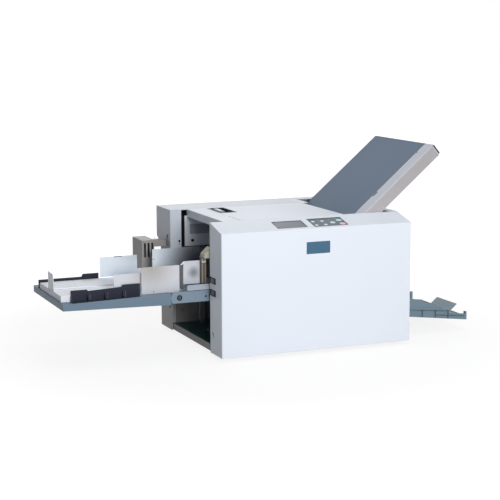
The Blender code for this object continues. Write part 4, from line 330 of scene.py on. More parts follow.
BLACK = coated("black_plastic", (0.018, 0.022, 0.040), 0.45, grain=1300.0, depth=0.00008, strength=0.35,
        rub=0.15, gloss=0.2)
CAP_BLACK = coated("cap_dark_plastic", (0.035, 0.042, 0.055), 0.5, grain=1300.0, rub=0.15)
SLAB_WHITE = coated("slab_white_plastic", (0.860, 0.890, 0.950), 0.5, grain=1200.0, contrast=0.95)
BEIGE = coated("beige_plastic", (0.175, 0.168, 0.158), 0.5, grain=1200.0)
AIR_GREY = coated("air_box_plastic", (0.345, 0.330, 0.325), 0.5, grain=1200.0)
RUBBER = coated("roller_rubber", (0.030, 0.030, 0.033), 0.75, grain=1500.0, depth=0.0001, strength=0.5,
        rub=0.05)
FLOOR_GREEN = coated("pan_dark_green_paint", (0.010, 0.055, 0.050), 0.4, grain=600.0)
MOTOR_BLACK = coated("motor_dark_paint", (0.030, 0.032, 0.036), 0.4, grain=600.0, coat=0.2)
KEY_FILM = coated("key_film", (0.115, 0.160, 0.195), 0.42, grain=1600.0, depth=0.00003)
KEY_WHITE = coated("key_white_plastic", (0.780, 0.830, 0.850), 0.38, grain=1600.0, depth=0.00003)
KEY_CYAN = coated("key_cyan_plastic", (0.600, 0.830, 0.880), 0.38, grain=1600.0, depth=0.00003)
KEY_PINK = coated("key_pink_plastic", (0.880, 0.660, 0.700), 0.38, grain=1600.0, depth=0.00003)
START_GREEN = coated("start_film", (0.020, 0.270, 0.250), 0.4, grain=1600.0, depth=0.00003)
STOP_RED = coated("stop_film", (0.300, 0.120, 0.130), 0.4, grain=1600.0, depth=0.00003)
PLATE_BLUE = coated("plain_plate_blue", (0.045, 0.135, 0.230), 0.35, grain=900.0, depth=0.00003, coat=0.3)
LABEL_WHITE = coated("plain_label_white", (0.800, 0.800, 0.780), 0.55, grain=1600.0, depth=0.00002)
MARK_RED = coated("mark_red", (0.600, 0.060, 0.050), 0.45, grain=1600.0, depth=0.00002)
BRIGHT = sheet_metal("bright_sheet", (0.800, 0.810, 0.830), 0.24, (6, 60, 700))
# Far fence: a blue-grey patch, a white patch and a near-black patch towards its right end are painted
# reflections.
FAR_FENCE = fence_metal_with_painted_reflections("far_fence_painted_reflections", (0.830, 0.910, 0.990), [((-0.150, 0.405, 0.300), 0.080,
        (0.420, 0.480, 0.550), 0.6), ((-0.100, 0.405, 0.250), 0.070, (0.900, 0.920, 0.950), 0.9),
        ((0.075, 0.405, 0.250), 0.170, (0.060, 0.065, 0.080), 0.97)])
# Near fence: the warm darker patch is a painted reflection and the dark spot beside the feed post is
# painted shade.
NEAR_FENCE = fence_metal_with_painted_reflections("near_fence_painted_reflections", (0.610, 0.630, 0.680),
        [((-0.190, 0.155, 0.300), 0.110, (0.330, 0.310, 0.280), 0.8),
        ((-0.041, 0.150, 0.267), 0.030, (0.140, 0.150, 0.180), 0.8)])
# Tail blade: darker towards its lower near corner, painted shade.
BLADE_GREY = fence_metal_with_painted_reflections("tail_blade_painted_shade", (0.520, 0.560, 0.620),
        [((-0.499, 0.262, 0.205), 0.060, (0.350, 0.380, 0.430), 0.7)])
# Black for real dark marks, screws and rivets, and for painted shade in holes and slots and painted shadow
# lines.
BLACK_MARKS_AND_SHADE = coated("black_marks_and_painted_shade", (0.012, 0.012, 0.016), 0.6, grain=1300.0, rub=0.0, gloss=0.04)
PLATED = sheet_metal("plated_steel", (0.560, 0.570, 0.590), 0.36, (30, 30, 60))
TURNED = sheet_metal("turned_steel", (0.640, 0.650, 0.670), 0.22, (160, 12, 160))
GEAR_STEEL = sheet_metal("gear_steel", (0.500, 0.500, 0.510), 0.34, (90, 20, 90))
GEAR_DARK = sheet_metal("blackened_steel", (0.120, 0.122, 0.130), 0.36, (90, 20, 90))
PANEL_PAINT = coated("panel_pale_paint", (0.760, 0.790, 0.860), 0.42, grain=700.0)
LABEL_GREY = coated("plain_label_grey", (0.360, 0.385, 0.440), 0.5, grain=1600.0, depth=0.00002)
BAND_PALE = coated("band_pale_paint", (0.400, 0.450, 0.520), 0.4, grain=800.0, coat=0.1)
# Grey for painted highlights on the black edge guide's rib edges.
RIB_EDGE_HIGHLIGHT = coated("guide_rib_painted_highlight", (0.150, 0.155, 0.185), 0.5, grain=1300.0)
SEAM_GREY = coated("fence_seam_grey", (0.120, 0.118, 0.125), 0.5, grain=900.0)
RAIL_TAN = coated("rail_tan_plastic", (0.460, 0.340, 0.250), 0.45, grain=1200.0)
RIM_GREY = coated("pan_rim_paint", (0.230, 0.215, 0.215), 0.5, grain=700.0)
LEDGE_BLUE = coated("ledge_pale_blue", (0.215, 0.300, 0.345), 0.45, grain=1100.0)
# Dark blue for painted shade in the delivery tray's rib gaps and under its ledge.
TRAY_PAINTED_SHADE = coated("tray_painted_shade", (0.045, 0.080, 0.110), 0.5, grain=1100.0)
PANEL_GREY = coated("inner_wall_grey", (0.235, 0.225, 0.230), 0.5, grain=700.0)
SWITCH_GREY = coated("switch_grey_plastic", (0.160, 0.165, 0.185), 0.4, grain=1300.0)


def make_display_finish():
    """Grey display glass over a fine cell pattern, its tone drifting slowly."""
    made, tree, shader = start_finish("display_glass")
    place = node(tree, "TexCoord")
    cells = node(tree, "TexVoronoi", distance="CHEBYCHEV")
    cells.inputs["Scale"].default_value = 1400
    cells.inputs["Randomness"].default_value = 0
    tree.links.new(place.outputs["Object"], cells.inputs["Vector"])
    tone = use(tree, TONE_DRIFT, Tone=(0.190, 0.225, 0.270, 1), Other_Tone=(0.160, 0.190, 0.225, 1),
            Drift_Scale=9.0)
    mix = node(tree, "Mix", data_type="RGBA", blend_type="MULTIPLY")
    mix.inputs[0].default_value = 0.35
    tree.links.new(tone.outputs["Colour"], mix.inputs[6])
    tree.links.new(cells.outputs["Distance"], mix.inputs[7])
    tree.links.new(mix.outputs[2], shader.inputs["Base Color"])
    spread(tree, tone.outputs["Amount"], 0.14, 0.22, shader.inputs["Roughness"])
    shader.inputs["Coat Weight"].default_value = 0.15
    shader.inputs["Specular IOR Level"].default_value = 0.3
    return made


DISPLAY = make_display_finish()


# Pieces
def settle(name, made, finish, body):
    """Turn a bmesh in row coordinates into a finished piece that rides on a body."""
    mesh = bpy.data.meshes.new(name)
    made.to_mesh(mesh)
    made.free()
    mesh.shade_smooth()
    mesh.set_sharp_from_angle(angle=SHARP)
    mesh.materials.append(finish)
    piece = bpy.data.objects.new(name, mesh)
    bpy.context.scene.collection.objects.link(piece)
    even = piece.modifiers.new("even_normals", "WEIGHTED_NORMAL")
    even.keep_sharp = True
    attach(piece, body)
    return piece


def add_piece(name, maker, finish, slot, turn=0.0, body=None):
    """Model a piece in machine coordinates; turn is the radius of its softened edges, and the piece
    rides on the slot's own body unless another is named."""
    made = bmesh.new()
    maker(made)
    bmesh.ops.recalc_face_normals(made, faces=made.faces)
    if turn:
        soften(made, turn)
    bmesh.ops.translate(made, verts=made.verts, vec=ROW)
    return settle(name, made, finish, body or BODY_OF[slot])


def add_screws(name, slot, places, way, *sizes):
    """Plated screws that all face one way, as one piece."""
    def screws(made):
        for place in places:
            screw(made, place, way, *sizes)

    add_piece(name, screws, PLATED, slot)


def soften(made, turn):
    """Round every edge that turns by more than the least angle."""
    edges = [e for e in made.edges if len(e.link_faces) == 2 and e.calc_face_angle(0) > LEAST_TURN]
    bmesh.ops.bevel(made, geom=edges, offset=turn, offset_type="OFFSET", segments=2, profile=0.5,
            affect="EDGES", clamp_overlap=True, material=-1)


def merged(name):
    """The CAD node's shape with its loose triangles joined and flat faces made whole."""
    made = bmesh.new()
    made.from_mesh(frame["nodes"][name].data)
    bmesh.ops.remove_doubles(made, verts=made.verts, dist=MERGE_DISTANCE)
    bmesh.ops.dissolve_limit(made, angle_limit=FLAT_ANGLE, use_dissolve_boundaries=False, verts=made.verts,
            edges=made.edges, delimit=set())
    return made


def carved(made, cutter):
    """The shape made, in row coordinates, less what the maker cutter builds in machine coordinates."""
    away = bmesh.new()
    cutter(away)
    bmesh.ops.recalc_face_normals(away, faces=away.faces)
    bmesh.ops.translate(away, verts=away.verts, vec=ROW)
    holders = []
    for shape in (made, away):
        mesh = bpy.data.meshes.new("carving")
        shape.to_mesh(mesh)
        shape.free()
        holders.append(bpy.data.objects.new("carving", mesh))
        bpy.context.scene.collection.objects.link(holders[-1])
    knife = holders[0].modifiers.new("knife", "BOOLEAN")
    knife.object = holders[1]
    knife.solver = "EXACT"
    knife.use_self = True
    graph = bpy.context.evaluated_depsgraph_get()
    left = bmesh.new()
    left.from_mesh(holders[0].evaluated_get(graph).data)
    for holder in holders:
        mesh = holder.data
        bpy.data.objects.remove(holder)
        bpy.data.meshes.remove(mesh)
    return left


def dress(name, finish, turn):
    """Stand a softened copy with a finish in place of the CAD node."""
    made = merged(name)
    soften(made, turn)
    if name in CARVINGS:
        made = carved(made, CARVINGS[name])
    piece = settle(name + "_skin", made, finish, BODY_OF[name])
    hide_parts(name)
    return piece


def reshape(name, maker, finish, turn=0.0004):
    """Stand a newly modelled shape, in machine coordinates, in place of the CAD node."""
    made = bmesh.new()
    maker(made)
    bmesh.ops.recalc_face_normals(made, faces=made.faces)
    soften(made, turn)
    bmesh.ops.translate(made, verts=made.verts, vec=ROW)
    if name in CARVINGS:
        made = carved(made, CARVINGS[name])
    piece = settle(name + "_skin", made, finish, BODY_OF[name])
    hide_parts(name)


def block(made, x, y, z):
    grown = bmesh.ops.create_cube(made, size=1.0)["verts"]
    bmesh.ops.scale(made, verts=grown, vec=(x[1] - x[0], y[1] - y[0], z[1] - z[0]))
    bmesh.ops.translate(made, verts=grown, vec=((x[0] + x[1]) / 2, (y[0] + y[1]) / 2, (z[0] + z[1]) / 2))
    return grown


def rod(made, axis, centre, radius, start, end, sides=24, tip=None):
    """Cylinder or cone along x, y or z; centre gives the two other coordinates in order."""
    grown = bmesh.ops.create_cone(made, cap_ends=True, segments=sides, radius1=radius,
            radius2=radius if tip is None else tip, depth=end - start)["verts"]
    turn = {"x": Matrix.Rotation(math.pi / 2, 3, "Y"), "y": Matrix.Rotation(-math.pi / 2, 3, "X"),
            "z": Matrix.Identity(3)}[axis]
    bmesh.ops.rotate(made, verts=grown, cent=(0, 0, 0), matrix=turn)
    middle = list(centre)
    middle.insert("xyz".index(axis), (start + end) / 2)
    bmesh.ops.translate(made, verts=grown, vec=middle)
    return grown


def outline(made, points, axis, start, end):
    """Closed outline extruded along an axis; the points give the two other coordinates in order."""
    ring = []
    for pair in points:
        corner = list(pair)
        corner.insert("xyz".index(axis), start)
        ring.append(made.verts.new(corner))
    grown = bmesh.ops.extrude_face_region(made, geom=[made.faces.new(ring)])["geom"]
    offset = Vector((0, 0, 0))
    offset["xyz".index(axis)] = end - start
    bmesh.ops.translate(made, verts=[v for v in grown if isinstance(v, bmesh.types.BMVert)], vec=offset)
    return ring + [v for v in grown if isinstance(v, bmesh.types.BMVert)]


def move(made, verts, matrix, offset=(0, 0, 0)):
    bmesh.ops.transform(made, verts=verts, matrix=matrix)
    bmesh.ops.translate(made, verts=verts, vec=offset)


def turn_to(normal):
    """Rotation that takes +Z to a direction."""
    return Vector((0, 0, 1)).rotation_difference(Vector(normal)).to_matrix().to_4x4()


def screw(made, place, normal, radius=0.0028, tall=0.0012):
    """Pan head with a cross recess, standing on a face at place and looking along normal."""
    first = len(made.verts)
    grown = bmesh.ops.create_cone(made, cap_ends=True, segments=16, radius1=radius, radius2=radius * 0.80,
            depth=tall)["verts"]
    bmesh.ops.translate(made, verts=grown, vec=(0, 0, tall / 2))
    for spin in (0, math.pi / 2):
        slot = block(made, (-radius * 0.55, radius * 0.55), (-radius * 0.10, radius * 0.10),
                (tall * 0.98, tall * 1.06))
        bmesh.ops.rotate(made, verts=slot, cent=(0, 0, 0), matrix=Matrix.Rotation(spin, 3, "Z"))
    made.verts.ensure_lookup_table()
    move(made, made.verts[first:], turn_to(normal), place)


def on_chamfer(made):
    """Take a piece modelled flat, X across and Y up the slope, onto the front cover's chamfer."""
    move(made, made.verts, Matrix.Rotation(CHAMFER, 4, "X"), (0, 0, CHAMFER_Z))


def on_slope(made):
    """Take a piece modelled flat, X up the slope, onto the top face of the upper fold plate."""
    move(made, made.verts, Matrix.Rotation(-SLOPE, 4, "Y"), PLATE_FOOT)


def spun(made, points, axis, centre, sides=32):
    """Full turn of an open outline; each point is its distance from the axis and its place along it."""
    ring = []
    for reach, along in points:
        spot = [centre[0] + reach, centre[1]]
        spot.insert("xyz".index(axis), along)
        ring.append(made.verts.new(spot))
    lines = [made.edges.new(pair) for pair in zip(ring, ring[1:])]
    middle = list(centre)
    middle.insert("xyz".index(axis), 0)
    way = [0, 0, 0]
    way["xyz".index(axis)] = 1
    grown = bmesh.ops.spin(made, geom=ring + lines, cent=middle, axis=way, dvec=(0, 0, 0),
            angle=2 * math.pi, steps=sides, use_merge=True, use_duplicate=False)
    return grown


def washer(made, axis, centre, outer, inner, start, end, sides=32):
    spun(made, [(inner, start), (outer, start), (outer, end), (inner, end), (inner, start)], axis, centre,
            sides)
    bmesh.ops.remove_doubles(made, verts=made.verts, dist=MERGE_DISTANCE / 5)


def rounded(x, y, radius, steps=4):
    """Corner points of a rectangle with rounded corners."""
    points = []
    for cx, cy, first in ((x[1] - radius, y[1] - radius, 0), (x[0] + radius, y[1] - radius, 90),
                          (x[0] + radius, y[0] + radius, 180), (x[1] - radius, y[0] + radius, 270)):
        for i in range(steps + 1):
            turn = math.radians(first + 90 * i / steps)
            points.append((cx + radius * math.cos(turn), cy + radius * math.sin(turn)))
    return points


def border(made, outer, inner, axis, start, end):
    """Flat frame between two outlines with the same number of points."""
    loops = []
    for points in (outer, inner):
        ring = []
        for pair in points:
            spot = list(pair)
            spot.insert("xyz".index(axis), start)
            ring.append(made.verts.new(spot))
        loops.append([made.edges.new((a, b)) for a, b in zip(ring, ring[1:] + ring[:1])])
    faces = bmesh.ops.bridge_loops(made, edges=loops[0] + loops[1])["faces"]
    grown = bmesh.ops.extrude_face_region(made, geom=faces)["geom"]
    offset = Vector((0, 0, 0))
    offset["xyz".index(axis)] = end - start
    raised = [v for v in grown if isinstance(v, bmesh.types.BMVert)]
    bmesh.ops.translate(made, verts=raised, vec=offset)


def ellipse(centre, across, along, steps=24):
    return [(centre[0] + across * math.cos(2 * math.pi * i / steps),
            centre[1] + along * math.sin(2 * math.pi * i / steps)) for i in range(steps)]


# Carvings
def carve_front_cover(made):
    outline(made, rounded((0.3048, 0.3922), (0.3278, 0.3689), 0.0016), "y", -0.001, 0.0007)
    for y, z, radius in ((0.0825, 0.135, 0.0024), (0.0766, 0.018, 0.0024), (0.090, 0.294, 0.0012),
                         (0.081, 0.267, 0.0012)):
        rod(made, "x", (y, z), radius, -0.001, 0.004, 16)
    outline(made, [(0.0710, 0.0540), (0.0800, 0.0545), (0.0910, 0.0690), (0.0885, 0.0760),
            (0.0790, 0.0730), (0.0710, 0.0600)], "x", -0.001, 0.004)


def carve_rear_cover(made):
    for first in (0.110, 0.205):
        for i in range(9):
            outline(made, rounded((first, first + 0.075), (0.130 + 0.012 * i, 0.1345 + 0.012 * i), 0.0022,
                    3), "y", 0.590, 0.601)
    for x in (0.560, 0.580, 0.600, 0.620, 0.640):
        outline(made, rounded((x, x + 0.008), (0.300, 0.360), 0.0038, 4), "y", 0.590, 0.601)


def carve_right_cover(made):
    for i in range(12):
        y = 0.200 + 0.016 * i
        outline(made, rounded((y, y + 0.007), (0.290, 0.350), 0.0034, 4), "x", 0.690, 0.702)
    for i in range(7):
        y = 0.470 + 0.014 * i
        outline(made, rounded((y, y + 0.006), (0.060, 0.120), 0.0029, 4), "x", 0.690, 0.702)


def carve_top_left_panel(made):
    outline(made, rounded((0.4375, 0.4460), (0.4208, 0.4272), 0.0015), "x", 0.044, 0.053)


def carve_lower_left_cover(made):
    rod(made, "x", (0.5035, 0.0310), 0.0022, -0.001, 0.006, 16)


def carve_rear_frame(made):
    rod(made, "y", (0.0371, 0.0730), 0.0030, 0.476, 0.484, 16)
    rod(made, "y", (0.0900, 0.1450), 0.0045, 0.476, 0.484, 20)


def carve_delivery_tray(made):
    """Take the far flank and the end lip down, all but the lip's near corner."""
    outline(made, [(0.6850, 0.1050), (0.8465, 0.0815), (0.9520, 0.0447), (0.9900, 0.0400),
            (1.0050, 0.0381), (1.0050, 0.1500), (0.6850, 0.1500)], "y", 0.130, 0.470)


def on_stopper(made):
    """Take a piece modelled flat, X up the plate, onto the leaning stopper."""
    move(made, made.verts, Matrix.Rotation(-STOPPER_LEAN, 4, "Y"), STOPPER_FOOT)


def carve_delivery_stopper(made):
    for x, y in ((0.0300, 0.163), (0.0300, 0.228)):
        rod(made, "z", (x, y), 0.0026, -0.010, 0.010, 20)
    on_stopper(made)


CARVINGS = {"delivery_tray": carve_delivery_tray, "delivery_stopper": carve_delivery_stopper,
        "front_cover": carve_front_cover, "rear_cover": carve_rear_cover, "right_cover": carve_right_cover,
        "top_left_panel": carve_top_left_panel, "lower_left_cover": carve_lower_left_cover,
        "rear_frame": carve_rear_frame}


# Node, finish and radius of its softened edges
DRESSED = (
    ("rear_cover", WHITE_PAINT_SHADED_REAR, 0.0010),
    ("lower_left_cover", SIDE_GREY, 0.0008),
    ("right_cover", WHITE, 0.0008),
    ("top_left_panel", WHITE_PAINT_SHADED_TOP, 0.0008),
    ("top_cover", WHITE_PAINT_SHADED_TOP, 0.0008),
    ("lid_handle", BLACK, 0.0005),
    ("lid_hinge", PLATED, 0.0004),
    ("display_window", DISPLAY, 0.0003),
    ("key_panel", KEY_FILM, 0.0003),
    ("switch_upper", SWITCH_GREY, 0.0005),
    ("switch_lower", SWITCH_GREY, 0.0005),
    ("base_pan", FLOOR_GREEN, 0.0006),
    ("foot_front_left", RUBBER, 0.0015),
    ("foot_front_right", RUBBER, 0.0015),
    ("foot_rear_left", RUBBER, 0.0015),
    ("foot_rear_right", RUBBER, 0.0015),
    ("front_frame", PLATED, 0.0004),
    ("rear_frame", PANEL_GREY, 0.0004),
    ("feed_table", ARM_BLUE, 0.0008),
    ("tray_pivot_shaft", GEAR_DARK, 0.0004),
    ("extension_tray", TRAY_BLUE, 0.0007),
    ("sheet_support", SLAB_WHITE, 0.0005),
    ("tail_guide", BLADE_GREY, 0.0003),
    ("near_edge_guide", BLACK, 0.0004),
    ("far_edge_guide", BLACK, 0.0004),
    ("near_fence", NEAR_FENCE, 0.0003),
    ("far_fence", FAR_FENCE, 0.0003),
    ("blower_box", AIR_GREY, 0.0010),
    ("feed_post", BEIGE, 0.0007),
    ("lift_guide", PLATED, 0.0004),
    ("fold_roller_1", RUBBER, 0.0006),
    ("fold_roller_2", RUBBER, 0.0006),
    ("fold_roller_3", RUBBER, 0.0006),
    ("fold_roller_4", RUBBER, 0.0006),
    ("delivery_roller", RUBBER, 0.0006),
    ("fold_gear_1", GEAR_STEEL, 0.0003),
    ("fold_gear_2", GEAR_STEEL, 0.0003),
    ("motor_pinion", GEAR_STEEL, 0.0002),
    ("main_motor", MOTOR_BLACK, 0.0015),
    ("suction_drum", TURNED, 0.0008),
    ("suction_box", BLACK, 0.0008),
    ("fold_plate_1", BORDER, 0.0008),
    ("fold_plate_1_panel", SLATE, 0.0007),
    ("fold_plate_1_end_cap", CAP_BLACK, 0.0006),
    ("fold_stop_1", BRIGHT, 0.0004),
    ("fold_plate_2", PLATED, 0.0004),
    ("infeed_guide", BRIGHT, 0.0003),
    ("suction_fan_housing", BLACK, 0.0015),
    ("fan_impeller", GEAR_STEEL, 0.0003),
    ("power_inlet", BLACK, 0.0006),
    ("delivery_tray", DELIVERY_BLUE, 0.0007),
    ("key_minus", KEY_WHITE, 0.0005),
    ("key_plus", KEY_WHITE, 0.0005),
    ("key_menu", KEY_WHITE, 0.0005),
    ("key_clear", KEY_WHITE, 0.0005),
    ("key_test", KEY_WHITE, 0.0005),
    ("key_start", KEY_CYAN, 0.0005),
    ("key_stop", KEY_PINK, 0.0005),
    ("front_cover", WHITE, 0.0018),
)


# Front cover and control panel
def add_front_details():
    add_piece("plain_plate", lambda made: outline(made, rounded((0.3051, 0.3919), (0.3281, 0.3686),
            0.0014), "y", 0.0001, 0.0007), PLATE_BLUE, "front_cover", 0.0002)
    for label, z in (("upper", 0.2485), ("lower", 0.2070)):
        add_piece("switch_%s_bezel" % label, lambda made: border(made,
                rounded((0.0520, 0.1005), (z - 0.0105, z + 0.0105), 0.002),
                rounded((0.0656, 0.0904), (z - 0.0079, z + 0.0079), 0.0006), "x", -0.0016, -0.0001), BLACK,
                "switch_" + label, 0.0004, "chassis")
    add_piece("switch_label", lambda made: outline(made, rounded((0.0600, 0.0960), (0.2195, 0.2365),
            0.001), "x", -0.0003, -0.0001), LABEL_WHITE, "front_cover")

    def film_frame(made, x, y, wide):
        border(made, rounded(x, y, 0.0012), rounded((x[0] + wide, x[1] - wide), (y[0] + wide, y[1] - wide),
                0.0008), "z", -0.0009, 0.0002)
        on_chamfer(made)

    add_piece("display_frame", lambda made: film_frame(made, (0.2086, 0.3169), (0.0173, 0.0769), 0.0016),
            CAP_BLACK, "display_window")
    add_piece("key_frame", lambda made: film_frame(made, (0.3416, 0.4669), (0.0144, 0.0844), 0.0014),
            CAP_BLACK, "key_panel")

    def patch(made, centre):
        border(made, rounded((centre[0] - 0.0128, centre[0] + 0.0128),
                (centre[1] - 0.0118, centre[1] + 0.0118), 0.004, 5), ellipse(centre, 0.0112, 0.0092), "z",
                -0.00098, -0.00075)
        on_chamfer(made)

    add_piece("start_patch", lambda made: patch(made, (0.4515, 0.0604)), START_GREEN, "key_panel")
    add_piece("stop_patch", lambda made: patch(made, (0.4520, 0.0298)), STOP_RED, "key_panel")

    def lamps(made):
        for x, y in ((0.378, 0.0672), (0.4178, 0.0713), (0.4403, 0.0734)):
            rod(made, "z", (x, y), 0.0013, -0.00098, -0.0006, 16)
        on_chamfer(made)

    add_piece("panel_lamps", lamps, KEY_CYAN, "key_panel", 0.0001)

    def key_lines(made):
        for x in (0.3545, 0.3887, 0.4206):
            block(made, (x - 0.0070, x + 0.0070), (0.0172, 0.0178), (-0.00098, -0.00085))
        on_chamfer(made)

    add_piece("film_lines", key_lines, LABEL_WHITE, "key_panel")


# Lid, top strip and rear housing
def add_top_details():
    add_piece("lid_edge_strip", lambda made: block(made, (0.1130, 0.1141), (0.109, 0.217),
            (0.4390, 0.4393)), BLACK_MARKS_AND_SHADE, "top_left_panel")
    add_piece("finger_bar", lambda made: outline(made, [(0.1395, 0.4268), (0.1395, 0.3700),
            (0.1500, 0.3420), (0.1560, 0.4268)], "z", 0.4272, 0.4387), WHITE, "lid_handle", 0.0006)
    add_piece("duct_bracket", lambda made: outline(made, [(0.4530, 0.3045), (0.4840, 0.3045),
            (0.4840, 0.3500), (0.4680, 0.3500), (0.4680, 0.3310), (0.4530, 0.3230)], "x", -0.0166,
            -0.0147), AIR_GREY, "blower_box", 0.0005)
    add_piece("duct_bracket_screw", lambda made: screw(made, (-0.0166, 0.476, 0.342), (-1, 0, 0), 0.0040),
            BLACK_MARKS_AND_SHADE, "rear_cover")

    add_piece("plate_sill", lambda made: block(made, (0.4935, 0.5200), (0.4515, 0.5600), (0.4363, 0.4388)),
            WHITE_PAINT_SHADED_TOP, "rear_cover", 0.0004)

    def housing_marks(made):
        rod(made, "y", (0.0190, 0.3270), 0.0040, 0.4492, 0.4502, 20)
        rod(made, "y", (0.0190, 0.3165), 0.0019, 0.4492, 0.4502, 16)
        block(made, (0.0275, 0.0388), (0.4550, 0.4560), (0.3065, 0.4165))

    add_piece("housing_marks", housing_marks, BLACK_MARKS_AND_SHADE, "rear_cover")

    def cover_holes(made):
        for y, z, radius in ((0.4880, 0.1610, 0.0042), (0.4880, 0.1500, 0.0026), (0.4880, 0.0950, 0.0032)):
            rod(made, "x", (y, z), radius, -0.0004, 0.0004, 20)

    add_piece("lower_cover_plugs", cover_holes, BLACK_MARKS_AND_SHADE, "lower_left_cover")

    def lid_ribs(made):
        for x in (0.220, 0.330, 0.430):
            block(made, (x, x + 0.002), (0.126, 0.430), (0.4290, 0.4363))
        for y in (0.200, 0.350):
            block(made, (0.190, 0.460), (y, y + 0.002), (0.4310, 0.4363))

    add_piece("lid_ribs", lid_ribs, WHITE_PAINT_SHADED_TOP, "top_cover", 0.0003)

    add_piece("panel_face", lambda made: block(made, (0.0395, 0.1800), (0.4490, 0.4498), (0.3075, 0.4163)),
            PANEL_PAINT, "rear_frame", 0.0003)
    add_piece("panel_label", lambda made: outline(made, rounded((0.058, 0.132), (0.350, 0.385), 0.002),
            "y", 0.4486, 0.4490), LABEL_GREY, "rear_frame")

    def bolt(made):
        washer(made, "y", (0.0683, 0.3268), 0.0058, 0.0042, 0.4484, 0.4490)
        rod(made, "y", (0.0683, 0.3268), 0.0041, 0.4486, 0.4490, 24)

    add_piece("panel_bolt", bolt, BLACK_MARKS_AND_SHADE, "rear_frame")


# Feed side
def add_feed_details():
    add_piece("arm_band", lambda made: outline(made, [(-0.0768, 0.2124), (0.0038, 0.2124),
            (0.0038, 0.2323), (-0.0700, 0.2323), (-0.0768, 0.2270)], "y", 0.1140, 0.1144), BAND_PALE,
            "feed_table")
    add_piece("tail_blade", lambda made: outline(made, [(0.2500, 0.2210), (0.2581, 0.2751),
            (0.3180, 0.2773), (0.3180, 0.2210)], "x", BLADE_X[0], BLADE_X[1]), BLADE_GREY, "tail_guide",
            0.0003)
    # Thin black rods along the top and lower edges of the arm's band: painted shadow lines.
    def band_shadow_rods(made):
        rod(made, "x", (0.1170, 0.2337), 0.0013, -0.081, 0.009, 12)
        rod(made, "x", (0.1145, 0.2124), 0.0010, -0.077, 0.009, 12)

    add_piece("arm_band_painted_shadow", band_shadow_rods, BLACK_MARKS_AND_SHADE, "feed_table")

    def arm_marks(made):
        rod(made, "y", (-0.0113, 0.1909), 0.0032, 0.1141, 0.1144, 20)
        washer(made, "y", (-0.104, 0.192), 0.0092, 0.0058, 0.1134, 0.1144)
        rod(made, "y", (-0.104, 0.192), 0.0026, 0.1120, 0.1122, 6)

    add_piece("arm_marks", arm_marks, BLACK_MARKS_AND_SHADE, "feed_table")

    # Grey strips on the front and top edges of the guide's ribs: painted highlights.
    def ribs(made):
        for share in (0.235, 0.485, 0.740):
            x = -0.464 + share * 0.236
            block(made, (x - 0.0004, x + 0.0004), (0.1172, 0.1175), (0.2115, 0.2300))
            block(made, (x - 0.0004, x + 0.0004), (0.1175, 0.1540), (0.2112, 0.2116))

    add_piece("guide_rib_edge_highlights", ribs, RIB_EDGE_HIGHLIGHT, "near_edge_guide")

    def seam(made):
        block(made, (-0.0905, -0.0775), (0.1543, 0.1548), (0.2130, 0.2930))

    add_piece("near_fence_seam", seam, SEAM_GREY, "near_fence")

    def hooks(made):
        outline(made, [(-0.0870, 0.2955), (-0.0815, 0.2955), (-0.0790, 0.2995), (-0.0745, 0.3010),
                (-0.0745, 0.3045), (-0.0800, 0.3040), (-0.0835, 0.2990), (-0.0870, 0.2985)], "y", 0.1488,
                0.1498)
        outline(made, [(-0.0930, 0.2085), (-0.0790, 0.2085), (-0.0790, 0.2120), (-0.0850, 0.2145),
                (-0.0930, 0.2130)], "y", 0.1488, 0.1498)

    add_piece("near_fence_hooks", hooks, BRIGHT, "near_fence", 0.0002)
    add_piece("near_fence_rivet", lambda made: rod(made, "y", (-0.1818, 0.2128), 0.0014, 0.1494, 0.1499,
            16), BLACK_MARKS_AND_SHADE, "near_fence")

    def far_marks(made):
        rod(made, "y", (-0.0848, 0.2717), 0.0016, 0.4278, 0.4286, 16)
        block(made, (-0.2311, -0.2003), (0.4280, 0.4286), (0.2893, 0.2915))

    add_piece("far_fence_marks", far_marks, BLACK_MARKS_AND_SHADE, "far_fence")

    def rails(made):
        for x in (-0.0125, -0.0010):
            block(made, (x, x + 0.0036), (0.1457, 0.1464), (0.2135, 0.2950))

    add_piece("post_rails", rails, RAIL_TAN, "feed_post", 0.0002)
    add_piece("post_label", lambda made: outline(made, rounded((-0.0125, 0.0022), (0.2985, 0.3140),
            0.0008), "y", 0.1459, 0.1464), LABEL_WHITE, "feed_post")
    add_piece("post_mark", lambda made: outline(made, rounded((-0.0085, -0.0035), (0.3040, 0.3085),
            0.0010), "y", 0.1456, 0.1459), MARK_RED, "feed_post")

    add_piece("duct_wedge", lambda made: outline(made, [(-0.0160, 0.3185), (0.0130, 0.3185),
            (0.0130, 0.3520), (0.0060, 0.3520), (-0.0160, 0.3300)], "y", 0.1125, 0.1500), WEDGE_BEIGE,
            "feed_post", 0.0006)


